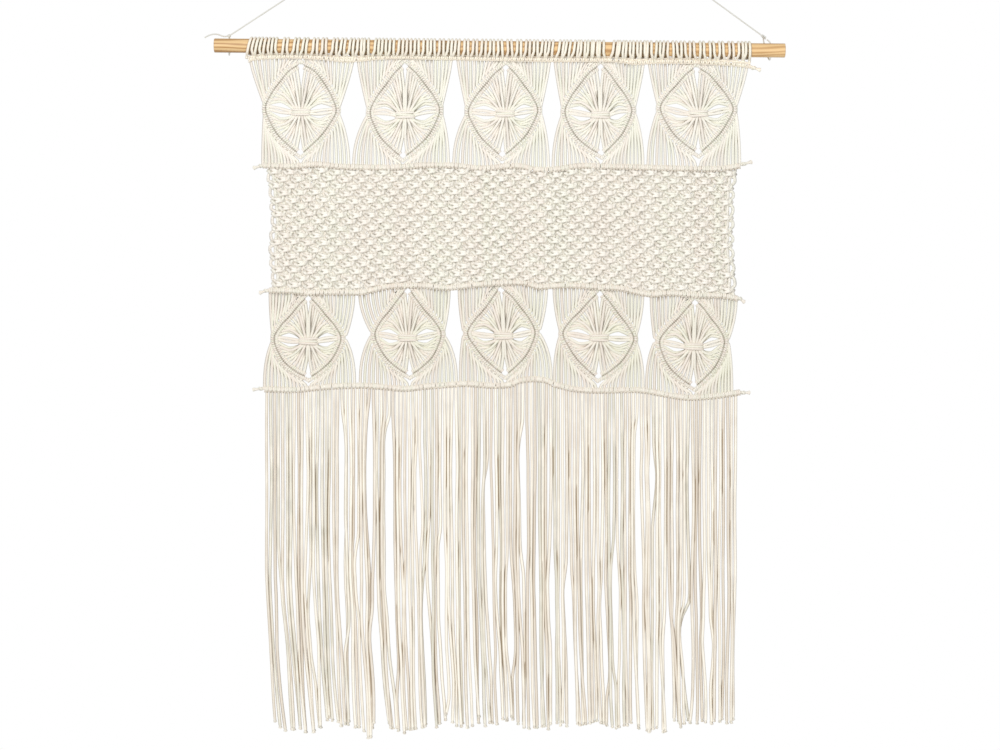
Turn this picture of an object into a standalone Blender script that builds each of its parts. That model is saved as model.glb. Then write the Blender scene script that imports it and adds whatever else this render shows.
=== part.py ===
"""Macrame wall hanging on a round wooden dowel.

Metres, +Z up, the front of the net faces -Y. The origin is the hang point: the underside of the hanging
cord where it bends over its nail. The net hangs in the plane of the dowel's axis.

The tables are in millimetres. Their x runs from the middle of the net, positive to the right as seen from
the front, and their drop runs down from the dowel's axis at the middle of the net.
"""
import math

import bmesh
import bpy
from mathutils import Matrix, Vector

MM = 0.001
CLEAR = 0.3  # between pieces that touch

# Dowel and hanging cord
DOWEL_LENGTH = 856.0
DOWEL_R = 10.5
DOWEL_TILT = math.radians(0.51)  # the right end hangs lower
DOWEL_SIDES = 24
DOWEL_EDGE = 0.8
HANG_DROP = 291.0  # hang point to the dowel's axis, at the middle of the net
NET_SHIFT = -15.5  # the middle of the net from the hang point, along x
HOLE_INSET = 22.0
HOLE_R = 1.75
CORD_R = 1.0
NAIL_BEND_R = 6.0  # centreline of the hanging cord over its nail

# Net
STRAP_T = 2.2  # a lark's-head strap on the dowel
ROW_HALF_HEIGHT = 3.6
ROW_HALF_DEPTH = 4.2
ROW_EDGE_DEPTH = 2.0
ROW_STEPS = 40
ROW_GAP = 0.7  # from a hitch row to the knotting above and below it
TAIL_HALF = 1.3
TAIL_KNOT_HALF = 2.6
FAN_HALF = 1.8  # half thickness of the loose cords
RIM_HALF = 3.6
RIM_HALF_WIDTH = 6.3
HUB_HALF = 5.0
HUB_HALF_WIDTH = 14.0
HUB_HALF_HEIGHT = 5.0
BAND_HALF = 4.5
STATIONS = 4  # along each arm of a diamond
EDGE_LOOKS = (-12, -8, -4, 0, 4, 8, 12)

# Each hitch row: points (x, drop) of its middle line.
HITCH_ROWS = {
    "hitch_row_1": [
        (-377, 19), (-364, 15.5), (-320, 14.4), (-266, 15.2), (-232, 17.6), (-211, 17.2), (-163, 15.6),
        (1, 16.7), (80, 17.6), (166, 18.4), (203, 20.6), (233, 19.9), (277, 19.7), (338, 21.8), (375, 25.7),
    ],
    "hitch_row_2": [
        (-355, 175), (-313, 176), (-278, 173), (-239, 176), (-193, 177.5), (-160, 177.5), (-116, 174.5),
        (-70, 174.5), (-26, 179), (13, 175.5), (52, 180), (83, 180), (121, 175.5), (158, 176), (212, 177.5),
        (265, 179), (326, 179.5), (361, 175),
    ],
    "hitch_row_3": [
        (-346, 360.5), (-266, 363.5), (-206, 362), (-137, 354), (-77, 354.5), (-26, 351.5), (19, 349.5),
        (56, 354.5), (104, 354.5), (158, 355.5), (185, 359), (223, 366.5), (257, 365), (319, 368), (357, 373),
    ],
    "hitch_row_4": [
        (-353, 507.5), (-299, 509), (-214, 504.5), (-143, 506.7), (-44, 501.5), (25, 503), (57, 494),
        (91, 501), (121, 508), (203, 509.6), (239, 515), (284, 519.5), (332, 516.5), (361, 513.5),
    ],
}
# Loose ends of the filler cords: the tip's (x, drop), where one shows.
ROW_TAILS = {
    "hitch_row_1": {"right": (387, 31.5)},
    "hitch_row_2": {"left": (-364, 178), "right": (374, 174)},
    "hitch_row_3": {"left": (-354, 365), "right": (364, 378)},
    "hitch_row_4": {"left": (-366, 511), "right": (371, 517)},
}

# Motifs. Points of the groove of each diamond, its knot, and the outline of the 24 cords that make it:
# at the row above, at the waist, where they swell below it, and at the row below. The bulges say how far each
# side bows out beside a straight line: top left, top right, bottom left, bottom right.
MOTIF_COLUMNS = (
    "top", "left", "right", "bottom", "knot",
    "above", "waist", "below", "foot",
    "bulges",
)
UPPER_MOTIFS = [
    ((-298, 22), (-351, 90), (-245, 94), (-299, 161), (-298, 97), (-374, -221), (-356, -237), (-356, -231), (-355, -224),
     (7, 9.5, 9, 6)),
    ((-142, 23), (-194, 96), (-90, 93), (-145, 166), (-142, 101), (-211, -73), (-200, -84), (-212, -80), (-221, -76),
     (4.5, 5, 9, 9.5)),
    ((9, 25), (-47, 95), (57, 93), (4, 164), (8, 99), (-62, 78), (-53, 63), (-64, 70), (-71, 74),
     (5, 4.5, 8, 8.5)),
    ((151, 24), (98, 95), (198, 93), (152, 162), (151, 101), (84, 219), (91, 205), (81, 213), (75, 217),
     (6, 3.5, 10.5, 8)),
    ((295, 27), (241, 90), (350, 92), (298, 160), (298, 99), (223, 373), (234, 357), (226, 360), (221, 360),
     (4, 6.5, 9, 6.5)),
]
LOWER_MOTIFS = [
    ((-286, 373), (-338, 438), (-238, 436), (-287, 498), (-287, 440), (-344, -215), (-344, -231), (-353, -221), (-353, -217),
     (2.5, 3, 11, 9)),
    ((-138, 362), (-188, 431), (-88, 429), (-134, 495), (-138, 436), (-209, -71), (-194, -82), (-207, -69), (-208, -64),
     (2.5, 1, 9.5, 10)),
    ((3, 359), (-48, 428), (54, 428), (6, 491), (5, 432), (-63, 74), (-54, 60), (-60, 72), (-60, 79),
     (1, 5, 6, 8.5)),
    ((151, 366), (95, 428), (201, 438), (149, 500), (149, 436), (79, 219), (89, 208), (81, 217), (83, 218),
     (2.5, 3, 7, 8.5)),
    ((292, 378), (240, 441), (337, 441), (291, 509), (290, 449), (228, 355), (233, 343), (220, 350), (221, 352),
     (1.5, 3.5, 11, 9)),
]
HEADING_EDGES = [(-376, -217), (-214, -69), (-66, 80), (83, 220), (223, 376)]

# Sides of the band of square knots: (drop, left edge, right edge).
BAND_SIDES = [(175, -351, 357), (205, -348, 351), (235, -345, 351), (300, -344, 351), (330, -340, 352), (375, -341, 355)]
BAND_ROWS = 5

# Cut ends of the fringe: (x, drop) along its lower edge, and how far the cords drift to the right by then.
FRINGE_ENDS = [(-350, 1010), (-318, 1018), (-262, 1016), (-196, 1030), (-140, 1022), (-76, 1008), (5, 1005), (70, 1016),
               (225, 1022), (300, 1008), (361, 1006)]
FRINGE_DRIFT = [(-350, 18), (-300, 12), (-200, 6), (0, 8), (100, 6), (300, 3), (361, 0)]
FRINGE_TEETH = 30
FRINGE_SPLIT = 1.6  # gap between two teeth
FRINGE_HALF = 2.4
FRINGE_BAR = 5.0

# The hanging cord, from the dowel's axis at each hole: x to the right, y back, z up, in millimetres.
KNOT_HALVES = {"left": (2.4, 2.4), "right": (5.2, 2.3)}  # half length along the leg of the cord, half thickness
KNOT_PLACES = {"left": (0.0, 0.0, 14.5), "right": (-10.2, 0.3, 20.3)}
LOOPS = {
    "left": [
        (0, 0, 11.8), (0, 0, 8), (0, 0, 3), (0, 0, -2), (0, 0, -7), (0, 0, -10.8), (0, 1.4, -13.2), (0, 4.0, -13.6),
        (0, 7.0, -11.0), (0, 10.2, -7.0), (0, 12.1, -2.2), (0, 11.9, 3.2), (0, 9.8, 7.8), (0, 6.4, 11.4), (0, 2.5, 13.5),
    ],
    "right": [
        (-5.3, 0.2, 16.3), (-3.0, 0.1, 14.4), (-1.0, 0, 12.4), (0, 0, 10.0), (0, 0, 5), (0, 0, 0), (0, 0, -5),
        (0, 0, -10.6), (-0.2, 1.4, -13.2), (-0.8, 4.0, -13.7), (-2.0, 7.0, -11.0), (-3.2, 10.2, -7.0),
        (-4.5, 12.1, -2.2), (-6.0, 11.9, 3.2), (-7.4, 10.3, 8.0), (-8.8, 8.0, 12.6), (-9.7, 6.2, 16.4), (-10.2, 4.0, 19.8),
    ],
}
# The cut end of the cord at the left knot; the right one is tucked into its knot.
TAIL = [
    (-2.9, 0, 14.2), (-6.5, 0, 13.6), (-10.5, -0.3, 14.4), (-16.0, -0.8, 16.3), (-22.0, -1.2, 16.8), (-28.0, -1.4, 15.6),
    (-33.0, -1.2, 13.4), (-36.5, -1.0, 11.4),
]


def clear_scene():
    for thing in list(bpy.data.objects):
        bpy.data.objects.remove(thing, do_unlink=True)


def make_material(name, colour, roughness):
    material = bpy.data.materials.new(name)
    material.use_nodes = True
    shader = material.node_tree.nodes["Principled BSDF"]
    shader.inputs["Base Color"].default_value = (*colour, 1.0)
    shader.inputs["Roughness"].default_value = roughness
    shader.inputs["Metallic"].default_value = 0.0
    return material


def between(table, x):
    """The value at x on a straight-line graph through the table's (x, value) points."""
    if x <= table[0][0]:
        return table[0][1]
    for (x0, v0), (x1, v1) in zip(table, table[1:]):
        if x <= x1:
            return v0 + (v1 - v0) * (x - x0) / (x1 - x0)
    return table[-1][1]


def smooth_points(points, step):
    """Points a step apart on a Catmull-Rom curve through the given ones, which may have 2 or 3 numbers each."""
    line = [Vector(p) for p in points]
    line = [2 * line[0] - line[1], *line, 2 * line[-1] - line[-2]]
    found = []
    for a, b, c, d in zip(line, line[1:], line[2:], line[3:]):
        count = max(1, round((c - b).length / step))
        for i in range(count):
            t = i / count
            found.append(0.5 * (2 * b + (c - a) * t + (2 * a - 5 * b + 4 * c - d) * t**2
                                + (3 * b - a - 3 * c + d) * t**3))
    return [*found, line[-2]]


def on_net(x, y, drop):
    """A point of the net in world metres."""
    return Vector(((NET_SHIFT + x) * MM, y * MM, (-HANG_DROP - drop) * MM))


def on_dowel(x, y, z):
    """A point given from the dowel's middle, along its tilted axis, in world metres."""
    turn = Matrix.Rotation(DOWEL_TILT, 3, "Y")
    return on_net(0, 0, 0) + turn @ Vector((x, y, z)) * MM


def add_solid(name, mesh, material):
    """A closed mesh as one object with its faces outwards."""
    bmesh.ops.recalc_face_normals(mesh, faces=mesh.faces)
    data = bpy.data.meshes.new(name)
    mesh.to_mesh(data)
    mesh.free()
    data.materials.append(material)
    thing = bpy.data.objects.new(name, data)
    bpy.context.collection.objects.link(thing)
    return thing


def add_sheet(name, points, faces, material):
    """A closed sheet from flat points (x, drop, half thickness) and the faces between them."""
    mesh = bmesh.new()
    front = [mesh.verts.new(on_net(x, -half, drop)) for x, drop, half in points]
    back = [mesh.verts.new(on_net(x, half, drop)) for x, drop, half in points]
    edges = {}
    for face in faces:
        mesh.faces.new([front[i] for i in face])
        mesh.faces.new([back[i] for i in reversed(face)])
        for a, b in zip(face, [*face[1:], face[0]]):
            edges.setdefault(frozenset((a, b)), []).append((a, b))
    for uses in edges.values():
        if len(uses) == 1:
            a, b = uses[0]
            mesh.faces.new((front[b], front[a], back[a], back[b]))
    return add_solid(name, mesh, material)


def add_cord(name, route, material):
    """A round cord along world points, as a bevelled curve with filled ends."""
    curve = bpy.data.curves.new(name, "CURVE")
    curve.dimensions = "3D"
    curve.bevel_depth = CORD_R * MM
    curve.bevel_resolution = 2
    curve.use_fill_caps = True
    spline = curve.splines.new("POLY")
    spline.points.add(len(route) - 1)
    for point, place in zip(spline.points, route):
        point.co = (*place, 1.0)
    curve.materials.append(material)
    thing = bpy.data.objects.new(name, curve)
    bpy.context.collection.objects.link(thing)
    return thing


def add_knot(name, centre, along, halves, material):
    """A small round knot, longer along the cord that leaves it."""
    mesh = bmesh.new()
    bmesh.ops.create_uvsphere(mesh, u_segments=10, v_segments=6, radius=1.0)
    size = Matrix.Diagonal((halves[1] * MM, halves[1] * MM, halves[0] * MM, 1.0))
    turn = along.to_track_quat("Z", "Y").to_matrix().to_4x4()
    bmesh.ops.transform(mesh, matrix=Matrix.Translation(centre) @ turn @ size, verts=mesh.verts)
    return add_solid(name, mesh, material)


def hole_places():
    reach = DOWEL_LENGTH / 2 - HOLE_INSET
    return {"left": -reach, "right": reach}


def add_dowel(wood):
    """The rod, with its two small upright holes."""
    mesh = bmesh.new()
    bmesh.ops.create_cone(mesh, cap_ends=True, segments=DOWEL_SIDES, radius1=DOWEL_R * MM, radius2=DOWEL_R * MM,
                          depth=DOWEL_LENGTH * MM)
    rims = [e for e in mesh.edges if len(e.link_faces) == 2 and any(len(f.verts) > 4 for f in e.link_faces)]
    bmesh.ops.bevel(mesh, geom=rims, offset=DOWEL_EDGE * MM, segments=1, affect="EDGES")
    turn = Matrix.Rotation(DOWEL_TILT, 4, "Y") @ Matrix.Rotation(math.pi / 2, 4, "Y")
    bmesh.ops.transform(mesh, matrix=Matrix.Translation(on_net(0, 0, 0)) @ turn, verts=mesh.verts)
    dowel = add_solid("dowel", mesh, wood)
    for side, x in hole_places().items():
        drill = bmesh.new()
        bmesh.ops.create_cone(drill, cap_ends=True, segments=12, radius1=HOLE_R * MM, radius2=HOLE_R * MM,
                              depth=4 * DOWEL_R * MM)
        place = Matrix.Translation(on_dowel(x, 0, 0)) @ Matrix.Rotation(DOWEL_TILT, 4, "Y")
        bmesh.ops.transform(drill, matrix=place, verts=drill.verts)
        cutter = add_solid("drill_" + side, drill, wood)
        cutter.hide_render = True
        cutter.display_type = "WIRE"
        cut = dowel.modifiers.new("hole_" + side, "BOOLEAN")
        cut.operation = "DIFFERENCE"
        cut.object = cutter
    return dowel


def add_hanging_cord(cotton):
    """The cord over its nail, and at each end the knot and the loop through the hole and round the dowel."""
    knots = {}
    for side, hole in hole_places().items():
        x, y, z = KNOT_PLACES[side]
        knots[side] = on_dowel(hole + x, y, z)
        add_knot("cord_knot_" + side, knots[side], -knots[side], KNOT_HALVES[side], cotton)
        route = [on_dowel(hole + a, b, c) for a, b, c in LOOPS[side]]
        add_cord("cord_loop_" + side, smooth_points(route, 2.5 * CORD_R * MM), cotton)
    tail = [on_dowel(hole_places()["left"] + a, b, c) for a, b, c in TAIL]
    add_cord("cord_tail", smooth_points(tail, 2.5 * CORD_R * MM), cotton)
    add_cord("hanging_cord", cord_over_nail(knots["left"], knots["right"]), cotton)


def cord_over_nail(left, right):
    """Two straight runs from the knots, joined by an arc over the nail; the arc's inner side passes the origin."""
    radius = NAIL_BEND_R * MM
    centre = Vector((0, 0, CORD_R * MM - radius))
    leans = {}
    for side, knot in (("left", left), ("right", right)):
        to = knot - centre
        leans[side] = math.atan2(-to.z, abs(to.x)) - math.asin(radius / math.hypot(to.x, to.z))
    start, end = math.pi / 2 + leans["left"], math.pi / 2 - leans["right"]
    turns, runs = 6, 6
    over = [centre + radius * Vector((math.cos(a), 0, math.sin(a)))
            for a in (start + (end - start) * i / turns for i in range(turns + 1))]
    ends = []
    for side, knot, bend in (("left", left, over[0]), ("right", right, over[-1])):
        ends.append(knot + (bend - knot).normalized() * (KNOT_HALVES[side][0] + CLEAR) * MM)
    up = [ends[0].lerp(over[0], i / runs) for i in range(runs)]
    down = [over[-1].lerp(ends[1], i / runs) for i in range(1, runs + 1)]
    return [*up, *over, *down]


def row_line(name):
    """The middle line of a hitch row as (x, drop), at evenly spaced x."""
    curve = [(p.x, p.y) for p in smooth_points(HITCH_ROWS[name], 6.0)]
    left, right = curve[0][0], curve[-1][0]
    places = [left + (right - left) * i / ROW_STEPS for i in range(ROW_STEPS + 1)]
    return [(x, between(curve, x)) for x in places]


def add_hitch_row(name, cotton):
    """A rope of hitches with a six-sided section, and the loose ends of its filler cord."""
    stations = [(x, drop, 1.0) for x, drop in row_line(name)]
    slim, knot = TAIL_HALF / ROW_HALF_HEIGHT, TAIL_KNOT_HALF / ROW_HALF_HEIGHT
    for side, (x, drop) in ROW_TAILS[name].items():
        end = stations[-1 if side == "right" else 0]
        tail = [(end[0] + (x - end[0]) * t, end[1] + (drop - end[1]) * t, size)
                for t, size in ((0.3, slim), (0.7, slim), (0.85, knot), (1.0, slim))]
        stations = [*stations, *tail] if side == "right" else [*reversed(tail), *stations]
    points = []
    for x, drop, size in stations:
        points += [
            (x, drop - ROW_HALF_HEIGHT * size, ROW_EDGE_DEPTH * size),
            (x, drop, ROW_HALF_DEPTH * size),
            (x, drop + ROW_HALF_HEIGHT * size, ROW_EDGE_DEPTH * size),
        ]
    faces = [(3 * i + k, 3 * i + k + 1, 3 * i + k + 4, 3 * i + k + 3)
             for i in range(len(stations) - 1) for k in (0, 1)]
    return add_sheet(name, points, faces, cotton)


def below(name, x):
    """Where knotting starts under a row at x: clear of the row at EDGE_LOOKS to both sides."""
    line = row_line(name)
    return max(between(line, x + k) for k in EDGE_LOOKS) + ROW_HALF_HEIGHT + ROW_GAP


def above(name, x):
    """Where knotting ends over a row at x: clear of the row at EDGE_LOOKS to both sides."""
    line = row_line(name)
    return min(between(line, x + k) for k in EDGE_LOOKS) - ROW_HALF_HEIGHT - ROW_GAP


def add_heading(number, edges, cotton):
    """The straps of twelve lark's-head knots: a sleeve round the dowel."""
    inner, outer = DOWEL_R + CLEAR, DOWEL_R + CLEAR + STRAP_T
    mesh = bmesh.new()
    rings = []
    for x in edges:
        for radius in (inner, outer):
            rings.append([mesh.verts.new(on_dowel(x, radius * math.cos(a), radius * math.sin(a)))
                          for a in (2 * math.pi * (i + 0.5) / DOWEL_SIDES for i in range(DOWEL_SIDES))])
    near_in, near_out, far_in, far_out = rings
    for one, two in ((near_in, near_out), (near_out, far_out), (far_out, far_in), (far_in, near_in)):
        for i in range(DOWEL_SIDES):
            j = (i + 1) % DOWEL_SIDES
            mesh.faces.new((one[i], one[j], two[j], two[i]))
    return add_solid(f"heading_{number}", mesh, cotton)


def arm_point(side, apex, t, bulge, up):
    """A point on the groove of one arm, from the side of the diamond (t = 0) to its apex (t = 1)."""
    out = Vector((abs(apex.y - side.y) * (1 if side.x > apex.x else -1), abs(apex.x - side.x) * (-1 if up else 1)))
    near, far = (2.5 + 0.5 * bulge, 0.9 * bulge) if up else (0.8 * bulge, 0.6 * bulge)
    return side.lerp(apex, t) + out.normalized() * between([(0, 0), (0.25, near), (0.5, bulge), (0.75, far), (1, 0)], t)


def add_motif(name, numbers, row_above, row_below, cotton):
    """One diamond with the cords that run into it and out of it.

    Each quarter is a patch of quads. Across it run lines from the hitch row to the rim, through the rim to
    the gathered cords, and on to the knot; along it run STATIONS steps from the side of the diamond to its apex.
    The two quarters on one side part to leave an eye, and the left and right ones part to leave a slit.
    """
    part = dict(zip(MOTIF_COLUMNS, numbers))
    knot = Vector(part["knot"])
    points, index, faces = [], {}, []

    def point(key, place, half):
        if key not in index:
            index[key] = len(points)
            points.append((place[0], place[1], half))
        return index[key]

    def quarter(side_name, end_name):
        way = -1 if side_name == "left" else 1
        up = end_name == "top"
        down = -1 if up else 1
        side, apex = Vector(part[side_name]), Vector(part[end_name])
        k = 0 if way < 0 else 1
        waist, head = part["waist"][k], part["above" if up else "foot"][k]
        swell = part["above" if up else "below"][k]
        bulge = part["bulges"][k if up else 2 + k]
        columns = []
        for i in range(STATIONS + 1):
            t = i / STATIONS
            here = "side" if i == 0 else "apex" if i == STATIONS else i
            groove = arm_point(side, apex, t, bulge, up)
            along = (apex - side).normalized()
            out = Vector((abs(along.y) * way, abs(along.x) * down))
            if i == 0:
                out = Vector((way, 0))
            if i == STATIONS:
                out = Vector((0, down))
            outer = groove + out * (min(RIM_HALF_WIDTH, abs(waist - side.x)) if i == 0 else RIM_HALF_WIDTH)
            inner = groove - out * RIM_HALF_WIDTH
            row_x = head + (part[end_name][0] - head) * t
            row = Vector((row_x, below(row_above, row_x) if up else above(row_below, row_x)))
            if (row.y - outer.y) * down < 3.0:
                outer.y = row.y - 3.0 * down
            if i == STATIONS and (inner.y - outer.y) * down > -2 * RIM_HALF_WIDTH + 4:
                inner.y = outer.y - (2 * RIM_HALF_WIDTH - 2) * down
            mid = row.lerp(outer, 0.55)
            mid.x = row_x + (outer.x - row_x) * 0.4 if up else outer.x + (row_x - outer.x) * 0.75
            if i == 0 and not up:
                mid = Vector((swell, outer.y + 0.35 * (row.y - outer.y)))
            hub = knot + Vector((way * HUB_HALF_WIDTH * (1 - t), down * HUB_HALF_HEIGHT))
            third, two_thirds = inner.lerp(hub, 0.33), inner.lerp(hub, 0.7)
            if i == 0:
                third.y += down * 7.5
                two_thirds.y += down * 6.5
            if i == STATIONS:
                third.x += way * 2.6
            shared = i == 0 or i == STATIONS
            rim_key = (side_name, here) if i == 0 else (end_name, here)
            own = (side_name, end_name, here)
            middle = (end_name, here) if i == STATIONS else own
            columns.append([
                point(("row", *middle), row, FAN_HALF),
                point(("mid", *middle), mid, FAN_HALF),
                point(("outer", *(rim_key if shared else own)), outer, RIM_HALF),
                point(("inner", *(rim_key if shared else own)), inner, RIM_HALF),
                point(("third", *own), third, FAN_HALF),
                point(("two_thirds", *middle), two_thirds, FAN_HALF + 0.4),
                point(("hub", *middle), hub, HUB_HALF),
            ])
        for one, two in zip(columns, columns[1:]):
            for a in range(len(one) - 1):
                faces.append((one[a], one[a + 1], two[a + 1], two[a]))
        return [c[-1] for c in columns]

    hubs = {(s, e): quarter(s, e) for s in ("left", "right") for e in ("top", "bottom")}
    for s in ("left", "right"):
        top, bottom = hubs[s, "top"], hubs[s, "bottom"]
        for a in range(STATIONS):
            faces.append((top[a], bottom[a], bottom[a + 1], top[a + 1]))
    return add_sheet(name, points, faces, cotton)


def add_band(cotton):
    """The band of alternating square knots, between the second and third hitch rows."""
    left, right = [(d, a) for d, a, _ in BAND_SIDES], [(d, b) for d, _, b in BAND_SIDES]
    points = []
    for i, (one, two) in enumerate(zip(row_line("hitch_row_2"), row_line("hitch_row_3"))):
        top, bottom = one[1] + ROW_HALF_HEIGHT + ROW_GAP, two[1] - ROW_HALF_HEIGHT - ROW_GAP
        for j in range(BAND_ROWS + 1):
            s, t = i / ROW_STEPS, j / BAND_ROWS
            drop = top * (1 - t) + bottom * t
            x = between(left, drop) * (1 - s) + between(right, drop) * s
            x = one[0] if j == 0 else two[0] if j == BAND_ROWS else x
            points.append((x, drop, BAND_HALF))
    step = BAND_ROWS + 1
    faces = [(step * i + j, step * i + j + 1, step * i + j + step + 1, step * i + j + step)
             for i in range(ROW_STEPS) for j in range(BAND_ROWS)]
    return add_sheet("knot_band", points, faces, cotton)


def add_fringe(cotton):
    """One comb: a bar below the last hitch row and its teeth, each a group of four cords."""
    left, right = HITCH_ROWS["hitch_row_4"][0][0] + 2, HITCH_ROWS["hitch_row_4"][-1][0] - 2
    pitch = (right - left) / FRINGE_TEETH
    points, faces = [], []
    for i in range(FRINGE_TEETH):
        a, b = left + pitch * i + FRINGE_SPLIT / 2, left + pitch * (i + 1) - FRINGE_SPLIT / 2
        drift, end = between(FRINGE_DRIFT, (a + b) / 2), between(FRINGE_ENDS, (a + b) / 2)
        end += 5 * math.sin(2.4 * i)
        start = len(points)
        for x, inward in ((a, 0.5), (b, -0.5)):
            top = below("hitch_row_4", x)
            points.append((x, top, FRINGE_HALF))
            points.append((x, top + FRINGE_BAR, FRINGE_HALF))
            points.append((x + inward + 0.3 * drift, 0.5 * (top + end), FRINGE_HALF))
            points.append((x + 3 * inward + drift, end, FRINGE_HALF))
        faces += [(start + k, start + k + 1, start + k + 5, start + k + 4) for k in range(3)]
        if i:
            faces.append((start - 4, start - 3, start + 1, start))
    return add_sheet("fringe", points, faces, cotton)


def main():
    clear_scene()
    wood = make_material("pine", (0.72, 0.45, 0.20), 0.55)
    cotton = make_material("cotton", (0.86, 0.80, 0.70), 0.9)
    add_dowel(wood)
    add_hanging_cord(cotton)
    for number, edges in enumerate(HEADING_EDGES, 1):
        add_heading(number, edges, cotton)
    for name in HITCH_ROWS:
        add_hitch_row(name, cotton)
    for number, numbers in enumerate(UPPER_MOTIFS, 1):
        add_motif(f"upper_motif_{number}", numbers, "hitch_row_1", "hitch_row_2", cotton)
    add_band(cotton)
    for number, numbers in enumerate(LOWER_MOTIFS, 1):
        add_motif(f"lower_motif_{number}", numbers, "hitch_row_3", "hitch_row_4", cotton)
    add_fringe(cotton)


main()
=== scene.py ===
"""Looks of a macrame wall hanging: cotton cords knotted below a pine dowel, over a fixed frame of plain solids.

Metres, +Z up, the front faces -Y, the origin at the hang point. The tables are in millimetres: x runs from the
middle of the net, positive to the right, and drop runs down from the dowel's axis at the middle of the net.
"""

import math
import random

import bmesh
import bpy
from mathutils import Matrix, Vector


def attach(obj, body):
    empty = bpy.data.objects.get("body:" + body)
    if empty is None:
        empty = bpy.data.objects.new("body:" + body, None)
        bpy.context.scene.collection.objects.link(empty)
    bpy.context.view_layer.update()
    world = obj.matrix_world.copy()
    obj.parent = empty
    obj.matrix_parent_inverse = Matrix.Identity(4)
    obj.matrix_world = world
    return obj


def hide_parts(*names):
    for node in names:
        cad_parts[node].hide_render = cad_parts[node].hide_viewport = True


MM = 0.001
HANG_DROP = 291.0  # hang point to the dowel's axis, at the middle of the net
NET_SHIFT = -15.5  # the middle of the net from the hang point, along x
DOWEL_LENGTH = 856.0
DOWEL_R = 10.5
DOWEL_TILT = math.radians(0.51)
HOLE_INSET = 22.0
HOLE_R = 1.75
HANG_CORD_R = 1.0
NAIL_BEND_R = 6.0

NET_CORDS = 120
SIDE_CORDS = NET_CORDS // 10  # on each side of one of five diamonds
BAND_COLUMNS = NET_CORDS // 4  # square knots in a full row
BAND_ROWS = 17

# Radii of the net's cords, straight and where they are bent.
COTTON_R = 2.35
STRAP_R = 2.04  # over the dowel
HITCH_R = 1.79  # in a hitch row
FIRST_HITCH_R = 1.5
ROW_END_R = 2.0
RIB_R = 1.63  # in a diamond's rim
BACKING_R = 1.8  # behind the rim
WRAP_R = 1.9  # round a diamond's knot
KNOT_R = 2.55  # in a square knot
HANGING_R = 2.4  # in the fringe
FRAY_R = 1.7
# A cord that fills out a heading, and thin cords that carry painted shade along a rope's lower edge and in a rim's
# groove.
HEADING_CORD_R = 1.7
SHADOW_LINE_R = 0.8
GROOVE_R = 0.65

# Hitch rows: points (x, drop) of the middle of each rope.
ROWS = {
    "first": [
        (-377, 18.5), (-364, 14.9), (-320, 12.5), (-266, 14.7), (-232, 18.5), (-211, 17.3), (-163, 13.5), (-90, 14.5),
        (1, 16.4), (80, 17.7), (166, 17.9), (203, 21.9), (233, 20.5), (277, 20.5), (338, 23.3), (368, 26.1),
        (376, 27.9),
    ],
    "second": [
        (-355, 175.7), (-313, 177.2), (-278, 174.2), (-239, 177.2), (-193, 178.7), (-160, 178.7), (-116, 175.7),
        (-70, 175.7), (-26, 180.2), (13, 176.4), (35, 177.2), (52, 181.7), (83, 181.7), (121, 176.4), (158, 177.2),
        (212, 178.7), (265, 180.2), (326, 180.9), (361, 176.2),
    ],
    "third": [
        (-346, 363.4), (-315, 363.8), (-287, 366.4), (-245, 365.9), (-211, 366.4), (-196, 363.8), (-170, 357.9),
        (-137, 355.7), (-103, 356.8), (-83, 359.4), (-62, 357.9), (-38, 355), (0, 352.1), (35, 351.7), (57, 357.7),
        (78, 356.6), (103, 355.7), (145, 358), (181, 360.1), (209, 366.4), (230, 369.4), (256, 367.4), (296, 370.4),
        (333, 370.9), (357, 375.4),
    ],
    "fourth": [
        (-353, 511.3), (-311, 512.4), (-272, 509), (-249, 507), (-207, 506), (-173, 508), (-142, 510.7),
        (-112, 507.5), (-66, 503.8), (-47, 503.4), (-9, 506), (16, 504.4), (28, 499), (46, 496.3), (62, 496.8),
        (72, 499), (83, 504.4), (113, 511.3), (145, 513.4), (188, 512.4), (213, 512.8), (235, 516.5), (259, 521),
        (286, 524), (326, 521), (361, 516),
    ],
}
ROW_HALF = {"first": 3.4, "second": 4.6, "third": 4.5, "fourth": 4.5}
# Loose ends of the filler cords, from the rope outwards.
ROW_TAILS = {
    "first": [[(374, 27), (381, 30), (387, 32)]],
    "second": [[(-352, 175), (-358, 177), (-365, 179)], [(358, 176), (366, 174), (374, 172)]],
    "third": [[(-344, 362), (-350, 364), (-356, 366)], [(355, 373), (360, 376), (364, 379)]],
    "fourth": [[(-350, 510), (-358, 511), (-366, 512)], [(358, 516), (365, 517), (371, 517)]],
}

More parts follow.
